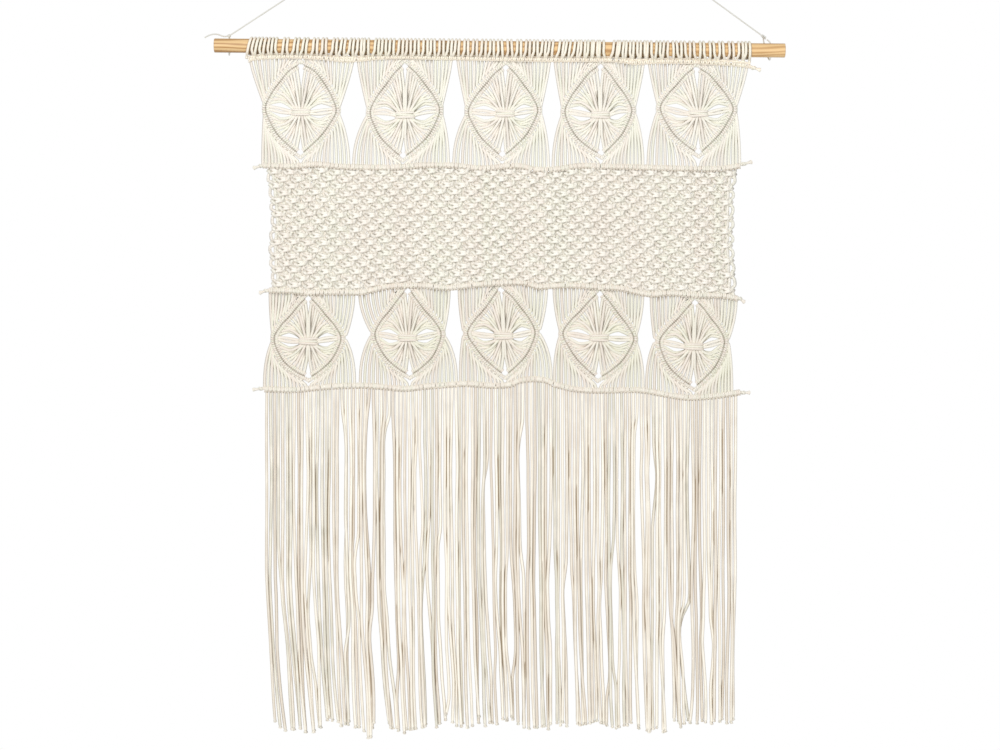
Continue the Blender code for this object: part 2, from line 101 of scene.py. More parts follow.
# Diamonds. Points of the groove, the knot, and the outline of the cords: at the row above, at the waist, and at
# the row below, as (left, right). Slack says where the side cords lie in each eye, from -1 to 1, and bulges how far
# each side bows out beside a straight line: top left, top right, bottom left, bottom right.
MOTIF_COLUMNS = ("top", "left", "right", "bottom", "knot", "above", "waist", "foot", "slack", "bulges")
MOTIFS = {
    "upper": [
        ((-298, 22), (-351, 90), (-245, 94), (-299, 161), (-298, 97), (-377, -217), (-356, -238), (-358, -223),
         (0.2, 0.3), (7, 9.5, 9, 6)),
        ((-142, 23), (-194, 96), (-90, 93), (-145, 166), (-142, 101), (-216, -69), (-201, -84), (-222, -74),
         (-0.6, -0.7), (4.5, 5, 9, 9.5)),
        ((9, 25), (-47, 95), (57, 93), (4, 164), (8, 99), (-66, 78), (-53, 65), (-72, 76),
         (0.0, -0.3), (5, 4.5, 8, 8.5)),
        ((151, 24), (98, 95), (198, 93), (152, 162), (151, 101), (80, 219), (91, 206), (77, 218),
         (0.1, -0.9), (6, 3.5, 10.5, 8)),
        ((295, 27), (241, 90), (350, 92), (298, 160), (298, 99), (221, 375), (234, 358), (219, 363),
         (0.2, 0.0), (4, 6.5, 9, 6.5)),
    ],
    "lower": [
        ((-287, 372), (-338, 435), (-238, 435), (-287, 497), (-287, 440), (-347, -216), (-344, -227), (-356, -215),
         (0.1, -0.2), (2.5, 3, 11, 9)),
        ((-138, 361), (-187, 429), (-88, 428), (-135, 493), (-138, 435), (-213, -73), (-197, -80), (-212, -62),
         (0.0, 0.2), (2.5, 1, 9.5, 10)),
        ((2, 359), (-48, 428), (53, 426), (8, 492), (6, 432), (-64, 73), (-58, 64), (-62, 80),
         (0.3, 0.1), (1, 5, 6, 8.5)),
        ((150, 365), (95, 428), (201, 436), (148, 497), (149, 435), (78, 218), (87, 208), (79, 218),
         (0.0, 0.2), (2.5, 3, 7, 8.5)),
        ((293, 378), (240, 440), (337, 440), (291, 510), (291, 448), (224, 358), (228, 347), (217, 351),
         (0.0, 0.1), (1.5, 3.5, 11, 9)),
    ],
}
# The rows above and below, and how late the cords turn aside to them.
MOTIF_ROWS = {"upper": (("first", 1.2), ("second", 2.2)), "lower": (("third", 1.9), ("fourth", 2.7))}

# Left and right edge of the band: (drop, left, right).
BAND_SIDES = [(175, -351, 357), (205, -346, 351), (235, -343, 350), (262, -341, 350), (290, -345, 350),
              (315, -344, 351), (340, -341, 353), (375, -343, 355)]

# Colours of the yarn (light, warm, cool and in the shade between cords), and what is unlike the plain yarn.
YARN_COLOURS = ("Light", "Warm", "Cool", "Shade")
PLAIN_YARN = {"Plies": 3.0, "Turns per metre": 240.0, "Ply depth": 0.05, "Fleck depth": 0.03, "Clean front": -1.0,
              "Fleck back": -0.9}
YARNS = {
    "natural cotton": ((0.89, 0.847, 0.753), (0.86, 0.783, 0.697), (0.838, 0.822, 0.693), (0.16, 0.115, 0.055), {}),
    "pale cotton": ((0.935, 0.898, 0.812), (0.90, 0.834, 0.752), (0.88, 0.87, 0.752), (0.15, 0.115, 0.06), {}),
    "bright cotton": ((0.905, 0.86, 0.772), (0.865, 0.795, 0.705), (0.845, 0.82, 0.717), (0.19, 0.14, 0.07), {}),
    "strap cotton": ((0.985, 0.93, 0.81), (0.95, 0.87, 0.75), (0.94, 0.90, 0.77), (0.21, 0.14, 0.06), {}),
    "hanging cotton": ((1.0, 0.955, 0.85), (0.81, 0.74, 0.64), (0.775, 0.75, 0.647), (0.26, 0.145, 0.03), {}),
    # the knotted cotton's painted speckled shade falls in the recesses and stays off the knots' fronts
    "knotted cotton": ((0.975, 0.935, 0.853), (0.945, 0.885, 0.803), (0.935, 0.915, 0.813), (0.13, 0.11, 0.06),
                       {"Turns per metre": 330.0, "Ply depth": 0.09, "Fleck depth": 0.25, "Clean front": -0.0057,
                        "Fleck back": -0.0042}),
    "hanging twine": ((0.79, 0.785, 0.735), (0.72, 0.705, 0.645), (0.72, 0.72, 0.655), (0.13, 0.11, 0.06),
                      {"Plies": 2.0, "Turns per metre": 420.0, "Ply depth": 0.3, "Fleck depth": 0.0}),
}


def smooth(points, step):
    """Points about a step apart on a Catmull-Rom curve through the given ones."""
    line = [Vector(p) for p in points]
    line = [2 * line[0] - line[1], *line, 2 * line[-1] - line[-2]]
    found = []
    for a, b, c, d in zip(line, line[1:], line[2:], line[3:]):
        count = max(1, round((c - b).length / step))
        for i in range(count):
            t = i / count
            found.append(0.5 * (2 * b + (c - a) * t + (2 * a - 5 * b + 4 * c - d) * t**2
                                + (3 * b - a - 3 * c + d) * t**3))
    return [*found, line[-2]]


def between(table, x):
    """The value at x on a straight-line graph through the table's (x, value) points."""
    if x <= table[0][0]:
        return table[0][1]
    for (x0, v0), (x1, v1) in zip(table, table[1:]):
        if x <= x1:
            return v0 + (v1 - v0) * (x - x0) / (x1 - x0)
    return table[-1][1]


def on_net(x, y, drop):
    """The place, in metres, at x and a drop of the net and a depth y, positive to the back."""
    return Vector(((NET_SHIFT + x) * MM, y * MM, (-HANG_DROP - drop) * MM))


def on_dowel(x, y, z):
    """The place, in metres, at x along the dowel, y behind its axis and z above it."""
    turn = Matrix.Rotation(DOWEL_TILT, 3, "Y")
    return on_net(0, 0, 0) + turn @ Vector((x, y, z)) * MM


# Node trees

GEOMETRY = {"Geometry": "Geometry"}
SHADE_FADE = 0.0014  # how soon the shade ends behind its back place, in metres


def feed(tree, node, inputs):
    """Links a node's inputs to sockets, or sets them to values."""
    for key, value in inputs.items():
        if isinstance(value, bpy.types.NodeSocket):
            tree.links.new(value, node.inputs[key])
        else:
            node.inputs[key].default_value = value


def add_node(tree, kind, inputs=None, out=0, **settings):
    """Adds a node, and gives one of its outputs."""
    made = tree.nodes.new(kind)
    for key, value in settings.items():
        setattr(made, key, value)
    feed(tree, made, inputs or {})
    return made.outputs[out]


def maths(tree, operation, *values):
    return add_node(tree, "ShaderNodeMath", dict(enumerate(values)), operation=operation)


def ranged(tree, value, low, high, to_low=0.0, to_high=1.0, **settings):
    """A value carried over from low..high to to_low..to_high, and held at the ends."""
    inputs = dict(enumerate((value, low, high, to_low, to_high)))
    return add_node(tree, "ShaderNodeMapRange", inputs, **settings)


def blended(tree, factor, one, two):
    return add_node(tree, "ShaderNodeMix", {0: factor, 6: one, 7: two}, 2, data_type="RGBA")


def axis(tree, vector, letter):
    return add_node(tree, "ShaderNodeSeparateXYZ", {0: vector}, letter)


def store(tree, geometry, name, value, kind="FLOAT", domain="POINT"):
    return add_node(tree, "GeometryNodeStoreNamedAttribute", {"Geometry": geometry, "Name": name, "Value": value},
                    data_type=kind, domain=domain)


def stored(tree, name, kind="FLOAT"):
    return add_node(tree, "GeometryNodeInputNamedAttribute", {"Name": name}, "Attribute", data_type=kind)


def node_group(name, kind, inputs, outputs):
    """A new node group, with its given and result sockets. inputs and outputs: label to kind of socket."""
    tree = bpy.data.node_groups.new(name, kind + "NodeTree")
    for in_out, sockets in (("INPUT", inputs), ("OUTPUT", outputs)):
        for label, socket in sockets.items():
            tree.interface.new_socket(label, in_out=in_out, socket_type="NodeSocket" + socket)
    return tree, tree.nodes.new("NodeGroupInput").outputs, tree.nodes.new("NodeGroupOutput").inputs


def laid_cord_tree():
    """Sweeps a round cord along each curve. UV: turns round the cord, and metres along it."""
    tree, given, result = node_group("laid cord", "Geometry", GEOMETRY | {
        "Cord radius": "Float", "Sides": "Int", "Steps": "Int", "Crevice": "Float", "Side shade": "Float",
        "Material": "Material"}, GEOMETRY)
    curved = add_node(tree, "GeometryNodeCurveSplineType", {"Curve": given["Geometry"]}, spline_type="CATMULL_ROM")
    fine = add_node(tree, "GeometryNodeSetSplineResolution", {"Geometry": curved, "Resolution": given["Steps"]})
    along = store(tree, fine, "along", add_node(tree, "GeometryNodeSplineParameter", out="Length"))
    ring = add_node(tree, "GeometryNodeCurvePrimitiveCircle",
                    {"Resolution": given["Sides"], "Radius": given["Cord radius"]})
    around = store(tree, ring, "around", add_node(tree, "GeometryNodeSplineParameter", out="Factor"))
    swept = add_node(tree, "GeometryNodeCurveToMesh", {"Curve": along, "Profile Curve": around, "Fill Caps": True})
    # The last face round the cord runs from nearly 1 back to 0: its 0 becomes 1.
    u = stored(tree, "around")
    mean = add_node(tree, "GeometryNodeFieldOnDomain", {0: u}, data_type="FLOAT", domain="FACE")
    whole = maths(tree, "MULTIPLY_ADD", maths(tree, "LESS_THAN", u, 0.01), maths(tree, "GREATER_THAN", mean, 0.3), u)
    uv = add_node(tree, "ShaderNodeCombineXYZ", {"X": whole, "Y": stored(tree, "along")})
    mapped = store(tree, swept, "UVMap", uv, "FLOAT2", "CORNER")
    # The sides turned to the neighbouring cords gather shade.
    facing = maths(tree, "ABSOLUTE", axis(tree, add_node(tree, "GeometryNodeInputNormal"), "X"))
    aside = ranged(tree, facing, 0.6, 1.0, 0.0, given["Side shade"])
    # The painted shade kept for the material: the amount given, or the painted side shade where that is more.
    dark = store(tree, mapped, "crevice", maths(tree, "MAXIMUM", given["Crevice"], aside))
    finish_tree(tree, add_node(tree, "GeometryNodeSetShadeSmooth", {"Geometry": dark}), given, result)
    return tree


def repeat_tree():
    """Sets a copy of one knot on each point, turned as the point says, each a little uneven."""
    tree, given, result = node_group("repeated knot", "Geometry", GEOMETRY | {
        "Knot": "Object", "Uneven turn": "Float", "Uneven size": "Float", "Seed": "Int", "Material": "Material"},
        GEOMETRY)
    knot = add_node(tree, "GeometryNodeObjectInfo", {"Object": given["Knot"]}, "Geometry")
    most = given["Uneven turn"]
    limits = {label: add_node(tree, "ShaderNodeCombineXYZ", dict.fromkeys("XYZ", turn))
              for label, turn in (("Min", maths(tree, "MULTIPLY", most, -1.0)), ("Max", most))}
    jitter = add_node(tree, "FunctionNodeRandomValue", limits | {"Seed": given["Seed"]}, data_type="FLOAT_VECTOR")
    turned = add_node(tree, "ShaderNodeVectorMath", {0: stored(tree, "turn", "FLOAT_VECTOR"), 1: jitter},
                      operation="ADD")
    small, large = (maths(tree, operation, 1.0, given["Uneven size"]) for operation in ("SUBTRACT", "ADD"))
    size = add_node(tree, "FunctionNodeRandomValue", {2: small, 3: large, "Seed": given["Seed"]}, 1,
                    data_type="FLOAT")
    placed = add_node(tree, "GeometryNodeInstanceOnPoints", {
        "Points": given["Geometry"], "Instance": knot, "Scale": size,
        "Rotation": add_node(tree, "FunctionNodeEulerToRotation", {0: turned})})
    finish_tree(tree, placed, given, result)
    return tree


def finish_tree(tree, geometry, given, result):
    """Gives each separate cord its own tint from 0 to 1, and the material."""
    real = add_node(tree, "GeometryNodeRealizeInstances", {"Geometry": geometry})
    island = add_node(tree, "GeometryNodeInputMeshIsland", out="Island Index")
    tint = add_node(tree, "FunctionNodeRandomValue", {"ID": island, "Seed": 4}, 1, data_type="FLOAT")
    coated = {"Geometry": store(tree, real, "tint", tint), "Material": given["Material"]}
    tree.links.new(add_node(tree, "GeometryNodeSetMaterial", coated), result["Geometry"])


def painted_shade_tree():
    """Raises a mesh's painted shade value near the points of a guide, more and more from the front place towards the
    back.
    """
    tree, given, result = node_group("crevice shade", "Geometry", GEOMETRY | {"Guide": "Object"} | dict.fromkeys(
        ("Reach", "Strength", "Front", "Depth", "Back"), "Float"), GEOMETRY)
    guide = add_node(tree, "GeometryNodeObjectInfo", {"Object": given["Guide"]}, "Geometry")
    near = add_node(tree, "GeometryNodeProximity", {"Geometry": guide}, "Distance", target_element="POINTS")
    fall = ranged(tree, near, 0.0, given["Reach"], given["Strength"], 0.0, interpolation_type="SMOOTHSTEP")
    y = axis(tree, add_node(tree, "GeometryNodeInputPosition"), "Y")
    deep = ranged(tree, y, given["Front"], maths(tree, "ADD", given["Front"], given["Depth"]))
    ahead = ranged(tree, y, given["Back"], maths(tree, "ADD", given["Back"], SHADE_FADE), 1.0, 0.0)
    shade = maths(tree, "MULTIPLY", maths(tree, "MULTIPLY", fall, deep), ahead)
    most = maths(tree, "MAXIMUM", stored(tree, "crevice"), shade)
    tree.links.new(store(tree, given["Geometry"], "crevice", most), result["Geometry"])
    return tree


# Objects

def new_object(name, data):
    thing = bpy.data.objects.new(name, data)
    bpy.context.collection.objects.link(thing)
    return thing


def point_object(name, points):
    mesh = bpy.data.meshes.new(name)
    mesh.from_pydata(points, [], [])
    return new_object(name, mesh)


def plain_object(name, mesh, material):
    data = bpy.data.meshes.new(name)
    mesh.to_mesh(data)
    mesh.free()
    data.materials.append(material)
    return new_object(name, data)


def modified(thing):
    """The mesh that an object's modifiers make."""
    bpy.context.view_layer.update()
    depsgraph = bpy.context.evaluated_depsgraph_get()
    return bpy.data.meshes.new_from_object(thing.evaluated_get(depsgraph), preserve_all_data_layers=True,
                                           depsgraph=depsgraph)


def grown(name, source, tree, values):
    """The mesh that a node tree makes of a source object, as a new object; the source is removed."""
    modifier = source.modifiers.new(tree, "NODES")
    modifier.node_group = TREES[tree]
    sockets = {item.name: item.identifier for item in TREES[tree].interface.items_tree if item.in_out == "INPUT"}
    for label, value in values.items():
        modifier[sockets[label]] = value
    mesh = modified(source)
    bpy.data.objects.remove(source, do_unlink=True)
    mesh.name = name
    return new_object(name, mesh)


def curves(name, routes):
    """A curve object with one spline for each route of points (place in metres, or place and thickness)."""
    curve = bpy.data.curves.new(name, "CURVE")
    curve.dimensions = "3D"
    for route in routes:
        spline = curve.splines.new("POLY")
        spline.points.add(len(route) - 1)
        for point, item in zip(spline.points, route):
            place, thick = item if isinstance(item, tuple) else (item, 1.0)
            point.co = (*place, 1.0)
            point.radius = thick
    return new_object(name, curve)


def lay(name, routes, radius, material, sides=5, steps=2, crevice=0.0, aside=0.0):
    """Round cords along routes, as one mesh, with painted shade all over and on their sides as asked."""
    return grown(name, curves(name, routes), "laid cord", {
        "Cord radius": radius * MM, "Sides": sides, "Steps": steps, "Crevice": crevice, "Side shade": aside,
        "Material": material})


def shade_near(thing, points, reach, strength, front=-100.0, depth=0.1, back=100.0):
    """The same piece, with painted shade near the given points, from behind the front place to the back one."""
    guide = point_object("guide", points)
    shaded = grown(thing.name, thing, "crevice shade", {
        "Guide": guide, "Reach": reach * MM, "Strength": strength, "Front": front * MM, "Depth": depth * MM,
        "Back": back * MM})
    bpy.data.objects.remove(guide, do_unlink=True)
    return shaded


def repeat(name, knot, spots, material, uneven, seed):
    """Copies of a knot at spots (place, turn about y), uneven in turn and size, as one mesh; the knot is removed."""
    points = point_object(name, [place for place, _ in spots])
    turn = points.data.attributes.new("turn", "FLOAT_VECTOR", "POINT")
    for item, (_, angle) in zip(turn.data, spots):
        item.vector = (0.0, angle, 0.0)
    copies = grown(name, points, "repeated knot", {
        "Knot": knot, "Uneven turn": uneven[0], "Uneven size": uneven[1], "Seed": seed, "Material": material})
    bpy.data.objects.remove(knot, do_unlink=True)
    return copies


def joined(name, things):
    """Several meshes as one object."""
    first = things[0]
    with bpy.context.temp_override(active_object=first, object=first, selected_editable_objects=things,
                                   selected_objects=things):
        bpy.ops.object.join()
    first.name = name
    first.data.name = name
    return first


def finish_piece(thing, slot, *nodes):
    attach(thing, "root")
    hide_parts(*nodes)


# Materials

def new_material(name):
    material = bpy.data.materials.new(name)
    material.use_nodes = True
    return material, material.node_tree, material.node_tree.nodes["Principled BSDF"]


def spun_cotton_group():
    """Twisted plies by the UV, tint by the cord, fibres by the place; painted shade by ply grooves, speckles and the
    shade value.
    """
    group, given, result = node_group(
        "spun cotton", "Shader", dict.fromkeys(YARN_COLOURS, "Color") | dict.fromkeys(PLAIN_YARN, "Float"),
        {"Color": "Color", "Roughness": "Float", "Height": "Float"})
    uv = add_node(group, "ShaderNodeUVMap", uv_map="UVMap")
    round_it = maths(group, "MULTIPLY", axis(group, uv, "X"), given["Plies"])
    twist = maths(group, "MULTIPLY_ADD", axis(group, uv, "Y"), given["Turns per metre"], round_it)
    ply = maths(group, "ABSOLUTE", maths(group, "SINE", maths(group, "MULTIPLY", twist, math.pi)))
    place = add_node(group, "ShaderNodeTexCoord", out="Object")
    patches, fibres = (add_node(group, "ShaderNodeTexNoise", {"Vector": place, "Scale": scale, "Detail": 2.0})
                       for scale in (24.0, 900.0))
    tint, crevice = (add_node(group, "ShaderNodeAttribute", out="Fac", attribute_name=name)
                     for name in ("tint", "crevice"))
    hue = maths(group, "MULTIPLY_ADD", patches, 0.8, tint)
    base = blended(group, ranged(group, hue, 0.85, 1.25), given["Light"], given["Warm"])
    base = blended(group, ranged(group, hue, 0.75, 0.45), base, given["Cool"])
    cells = add_node(group, "ShaderNodeTexVoronoi", {"Vector": place, "Scale": 330.0}, "Distance", feature="F1")
    # Painted shade in the ply grooves, and painted speckled shade that grows from the front place to the back one.
    recess = ranged(group, axis(group, place, "Y"), given["Clean front"], given["Fleck back"])
    speckled_shade = maths(group, "MULTIPLY", ranged(group, cells, 0.3, 0.75, 0.15, 1.0), recess)
    depth = maths(group, "MULTIPLY", ranged(group, ply, 0.0, 0.6, 1.0, 0.0), given["Ply depth"])
    depth = maths(group, "MULTIPLY_ADD", speckled_shade, given["Fleck depth"], depth)
    made = {"Color": blended(group, maths(group, "MAXIMUM", depth, crevice), base, given["Shade"]),
            "Roughness": ranged(group, fibres, 0.0, 1.0, 0.82, 0.98),
            "Height": maths(group, "MULTIPLY_ADD", fibres, 0.35, ply)}
    for label, socket in made.items():
        group.links.new(socket, result[label])
    return group


def cotton_material(name, group):
    *colours, unlike = YARNS[name]
    material, tree, shader = new_material(name)
    values = {label: (*colour, 1) for label, colour in zip(YARN_COLOURS, colours)} | PLAIN_YARN | unlike
    yarn = add_node(tree, "ShaderNodeGroup", values, node_tree=group).node.outputs
    relief = add_node(tree, "ShaderNodeBump", {"Strength": 0.6, "Distance": 0.0004, "Height": yarn["Height"]})
    feed(tree, shader, {"Base Color": yarn["Color"], "Roughness": yarn["Roughness"], "Normal": relief,
                        "Sheen Weight": 0.08, "Sheen Roughness": 0.6, "Specular IOR Level": 0.15})
    return material


def pine_material():
    material, tree, shader = new_material("pine")
    place = add_node(tree, "ShaderNodeTexCoord", out="Object")
    drawn, threads = (add_node(tree, "ShaderNodeMapping", {"Vector": place, "Scale": scale})
                      for scale in ((1.6, 14.0, 14.0), (30, 900, 900)))
    warp = add_node(tree, "ShaderNodeTexNoise", {"Vector": drawn, "Scale": 2.2, "Detail": 3.0}, 1)
    bent = add_node(tree, "ShaderNodeMix", {0: 0.26, 4: drawn, 5: warp}, 1, data_type="VECTOR")
    rings = add_node(tree, "ShaderNodeTexWave", {
        "Vector": bent, "Scale": 5.5, "Distortion": 2.5, "Detail": 2.0, "Detail Scale": 1.6}, 1, wave_type="RINGS",
        rings_direction="X")
    fine = add_node(tree, "ShaderNodeTexNoise", {"Vector": threads, "Scale": 1.0, "Detail": 3.0})
    colour = (0.80, 0.55, 0.27, 1)
    for factor, other in (
            (ranged(tree, rings, 0.25, 0.95), (0.43, 0.215, 0.07, 1)),
            (ranged(tree, fine, 0.3, 0.7, 0.0, 0.35), (0.80, 0.58, 0.32, 1)),
            # lighter towards the right end
            (ranged(tree, axis(tree, place, "X"), 0.0, 0.4, 0.0, 0.28), (0.95, 0.63, 0.30, 1)),
            # painted shadow of the straps and under the dowel, nearly black
            (add_node(tree, "ShaderNodeAttribute", out="Fac", attribute_name="crevice"), (0.05, 0.04, 0.015, 1))):
        colour = blended(tree, factor, colour, other)
    relief = add_node(tree, "ShaderNodeBump", {"Strength": 0.3, "Distance": 0.0003, "Height": fine})
    feed(tree, shader, {"Base Color": colour, "Normal": relief, "Roughness": 0.5})
    return material


# Dowel and hanging cord

HOLES = {"left": HOLE_INSET - DOWEL_LENGTH / 2, "right": DOWEL_LENGTH / 2 - HOLE_INSET}
DOWEL_SIDES = 28
DOWEL_RUNS = 420  # short ones, to hold the shade of the straps


def add_dowel(pine):
    """A turned rod with softened ends and a small upright hole near each end."""
    mesh = bmesh.new()
    half = DOWEL_LENGTH / 2
    rounding = [(-half, DOWEL_R - 0.9), (-half + 0.3, DOWEL_R - 0.3), (-half + 0.9, DOWEL_R)]
    rings = [*rounding, *((-half + DOWEL_LENGTH * i / DOWEL_RUNS, DOWEL_R) for i in range(1, DOWEL_RUNS)),
             *((-x, r) for x, r in reversed(rounding))]
    loops = [[mesh.verts.new(on_dowel(x, r * math.cos(a), r * math.sin(a)))
              for a in (2 * math.pi * i / DOWEL_SIDES for i in range(DOWEL_SIDES))] for x, r in rings]
    for one, two in zip(loops, loops[1:]):
        for i in range(DOWEL_SIDES):
            j = (i + 1) % DOWEL_SIDES
            mesh.faces.new((one[i], two[i], two[j], one[j]))
    mesh.faces.new(list(reversed(loops[0])))
    mesh.faces.new(loops[-1])
    bmesh.ops.recalc_face_normals(mesh, faces=mesh.faces)
    dowel = plain_object("pine_dowel", mesh, pine)
    for side, x in HOLES.items():
        drill = bmesh.new()
        bmesh.ops.create_cone(drill, cap_ends=True, segments=20, radius1=HOLE_R * MM, radius2=HOLE_R * MM,
                              depth=4 * DOWEL_R * MM)
        place = Matrix.Translation(on_dowel(x, 0, 0)) @ Matrix.Rotation(DOWEL_TILT, 4, "Y")
        bmesh.ops.transform(drill, matrix=place, verts=drill.verts)
        cutter = plain_object("drill_" + side, drill, pine)
        cut = dowel.modifiers.new("hole", "BOOLEAN")
        cut.operation = "DIFFERENCE"
        cut.object = cutter
        bored = modified(dowel)
        dowel.modifiers.clear()
        dowel.data = bored
        bpy.data.objects.remove(cutter, do_unlink=True)
    dowel.data.shade_smooth()
    dowel.data.set_sharp_from_angle(angle=math.radians(40))
    # Painted shadow on the wood beside and between the straps, and along the dowel's underside.
    dowel = shade_near(dowel, strap_lines(), reach=3.0, strength=0.85)
    dowel = shade_near(dowel, strap_shadows(), reach=3.4, strength=0.97)
    finish_piece(dowel, "pine", "dowel")


# Half the length and half the thickness of each knot, its place from the hole, and the route of its loop.
KNOT_HALVES = {"left": (2.4, 2.4), "right": (5.2, 2.3)}
KNOT_PLACES = {"left": (0.0, 0.0, 14.5), "right": (-10.2, 0.3, 20.3)}
LOOPS = {
    "left": [
        (0, 0, 11.8), (0, 0, 8), (0, 0, 3), (0, 0, -2), (0, 0, -7), (0, 0, -10.8), (0, 1.4, -13.2), (0, 4.0, -13.6),
        (0, 7.0, -11.0), (0, 10.2, -7.0), (0, 12.1, -2.2), (0, 11.9, 3.2), (0, 9.8, 7.8), (0, 6.4, 11.4),
        (0, 2.5, 13.5),
    ],
    "right": [
        (-5.3, 0.2, 16.3), (-3.0, 0.1, 14.4), (-1.0, 0, 12.4), (0, 0, 10.0), (0, 0, 5), (0, 0, 0), (0, 0, -5),
        (0, 0, -10.6), (-0.2, 1.4, -13.2), (-0.8, 4.0, -13.7), (-2.0, 7.0, -11.0), (-3.2, 10.2, -7.0),
        (-4.5, 12.1, -2.2), (-6.0, 11.9, 3.2), (-7.4, 10.3, 8.0), (-8.8, 8.0, 12.6), (-9.7, 6.2, 16.4),
        (-10.2, 4.0, 19.8),
    ],
}
TAIL = [
    (-2.9, 0, 14.2), (-6.5, 0, 13.6), (-10.5, -0.3, 14.4), (-16.0, -0.8, 16.3), (-22.0, -1.2, 16.8),
    (-28.0, -1.4, 15.6), (-33.0, -1.2, 13.4), (-36.5, -1.0, 11.4),
]


def lay_twine(name, route, node, twine, steps=2):
    twined = lay(name, [route], HANG_CORD_R, twine, sides=8, steps=steps)
    finish_piece(twined, "cord", node)
    return twined


def add_tail(twine):
    """The cut end at the left knot: limp."""
    route = smooth([on_dowel(HOLES["left"] + a, b, c) for a, b, c in TAIL], 2.5 * HANG_CORD_R * MM)
    length = sum((b - a).length for a, b in zip(route, route[1:]))
    tail = lay_twine("cord_tail_end", route, "cord_tail", twine, steps=3)
    tuple(route[0])
    [tuple(p) for p in route]


def knot_turns(centre, along, half_length, half_thick, turns):
    """Points of a cord wound round a knot, along its length."""
    side = along.cross(Vector((0, 1, 0))).normalized()
    back = along.cross(side).normalized()
    points = []
    steps = 8  # to a turn
    for i in range(turns * steps + 1):
        t, a = i / (turns * steps), 2 * math.pi * i / steps
        reach = half_thick * (0.45 + 0.25 * math.sin(math.pi * t))
        points.append(centre + (along * half_length * (2 * t - 1) * 0.75 + side * reach * math.cos(a)
                                + back * reach * math.sin(a)) * MM)
    return points


def add_hanging_cord(twine):
    """The taut cord over its nail, and its knots and loops at the dowel."""
    knots = {}
    for side, hole in HOLES.items():
        x, y, z = KNOT_PLACES[side]
        knots[side] = on_dowel(hole + x, y, z)
        route = smooth([on_dowel(hole + a, b, c) for a, b, c in LOOPS[side]], 2.0 * MM)
        lay_twine(f"cord_loop_{side}_twine", route, "cord_loop_" + side, twine)
        turns = knot_turns(knots[side], (-knots[side]).normalized(), *KNOT_HALVES[side], 3)
        lay_twine(f"cord_knot_{side}_twine", turns, "cord_knot_" + side, twine)
    lay_twine("hanging_cord_twine", cord_over_nail(knots["left"], knots["right"]), "hanging_cord", twine, steps=4)


def cord_over_nail(left, right):
    """The route from one knot up to the nail, over it and down to the other knot."""
    radius = NAIL_BEND_R * MM
    centre = Vector((0, 0, HANG_CORD_R * MM - radius))
    angles = []
    for knot in (left, right):
        to = knot - centre
        angles.append(math.atan2(-to.z, abs(to.x)) - math.asin(radius / math.hypot(to.x, to.z)))
    start, end = math.pi / 2 + angles[0], math.pi / 2 - angles[1]
    turns, runs = 6, 8
    over = [centre + radius * Vector((math.cos(a), 0, math.sin(a)))
            for a in (start + (end - start) * i / turns for i in range(turns + 1))]
    ends = [knot + (bend - knot).normalized() * (KNOT_HALVES[side][0] - 0.6) * MM
            for side, knot, bend in (("left", left, over[0]), ("right", right, over[-1]))]
    up = [ends[0].lerp(over[0], i / runs) for i in range(runs)]
    down = [over[-1].lerp(ends[1], i / runs) for i in range(1, runs + 1)]
    return [*up, *over, *down]


# Heading

# Where each cord is looped over the dowel: x of the middle of its knot, and how far its straps lean at the top.
LARKS_HEADS = [
    (-373, 3.0), (-361.5, 2.6), (-349.5, 2.0), (-338, 1.2), (-321, 1.2), (-305, 1.6), (-292, 1.8), (-276, 0.8),
    (-262.5, 0.4), (-247, 1.2), (-235, 1.6), (-222, 1.4), (-210, 0.8), (-199.5, 0.2), (-184, 1.0), (-173, 0.6),
    (-161.5, 0.6), (-148, 0.8), (-136, 0.4), (-124, 0.2), (-111, 0.2), (-100, 0.0), (-87, 0.2), (-75, 1.0),
    (-64, 1.0), (-50, 0.2), (-37, 0.4), (-24, 0.6), (-11.5, 0.2), (1, -0.6), (15.5, -0.8), (29, 0.2), (42, 0.6),
    (54, 0.2), (65.5, 1.2), (76, 1.4), (91.5, 1.6), (101.5, 1.8), (114, 1.6), (124.5, 0.6), (135, 0.4), (143, 0.8),
    (152.5, 0.4), (172.5, 1.4), (181.5, 1.4), (192, 0.6), (203, 0.2), (214, 0.2), (224, 0.2), (237, 0.6),
    (248, 0.8), (263, -0.8), (275, -0.6), (288, -0.4), (303, -0.2), (318, -0.8), (332, -0.6), (347, -0.8),
    (361, -0.4), (371.5, -0.2),
]


STRAP_APART = 2.85  # from the middle of a knot to each of its straps
CLOSE = 12.2  # knots nearer to each other than this touch
# One strap, up the front of the dowel and down behind it: (x, y, up, thickness).
STRAP = [
    (2.95, -11.0, -6.6, 1), (2.9, -12.8, -0.6, 1), (2.85, -11.6, 5.5, 0.94), (2.8, -7.4, 9.6, 0.84),
    (2.7, -1.2, 11.9, 0.78), (2.7, 5.0, 10.9, 0.82), (2.7, 10.4, 6.8, 0.92), (2.8, 12.6, 1.2, 1),
    (2.9, 12.2, -4.6, 1), (2.6, 9.6, -9.4, 1), (1.0, 8.0, -11.4, 1),
]


def strap_x(x, lean, up):
    """Where a strap lies across at a height: at x 4 mm below the dowel's axis, and leaning further up."""
    return x + lean * (up + 4) / 12


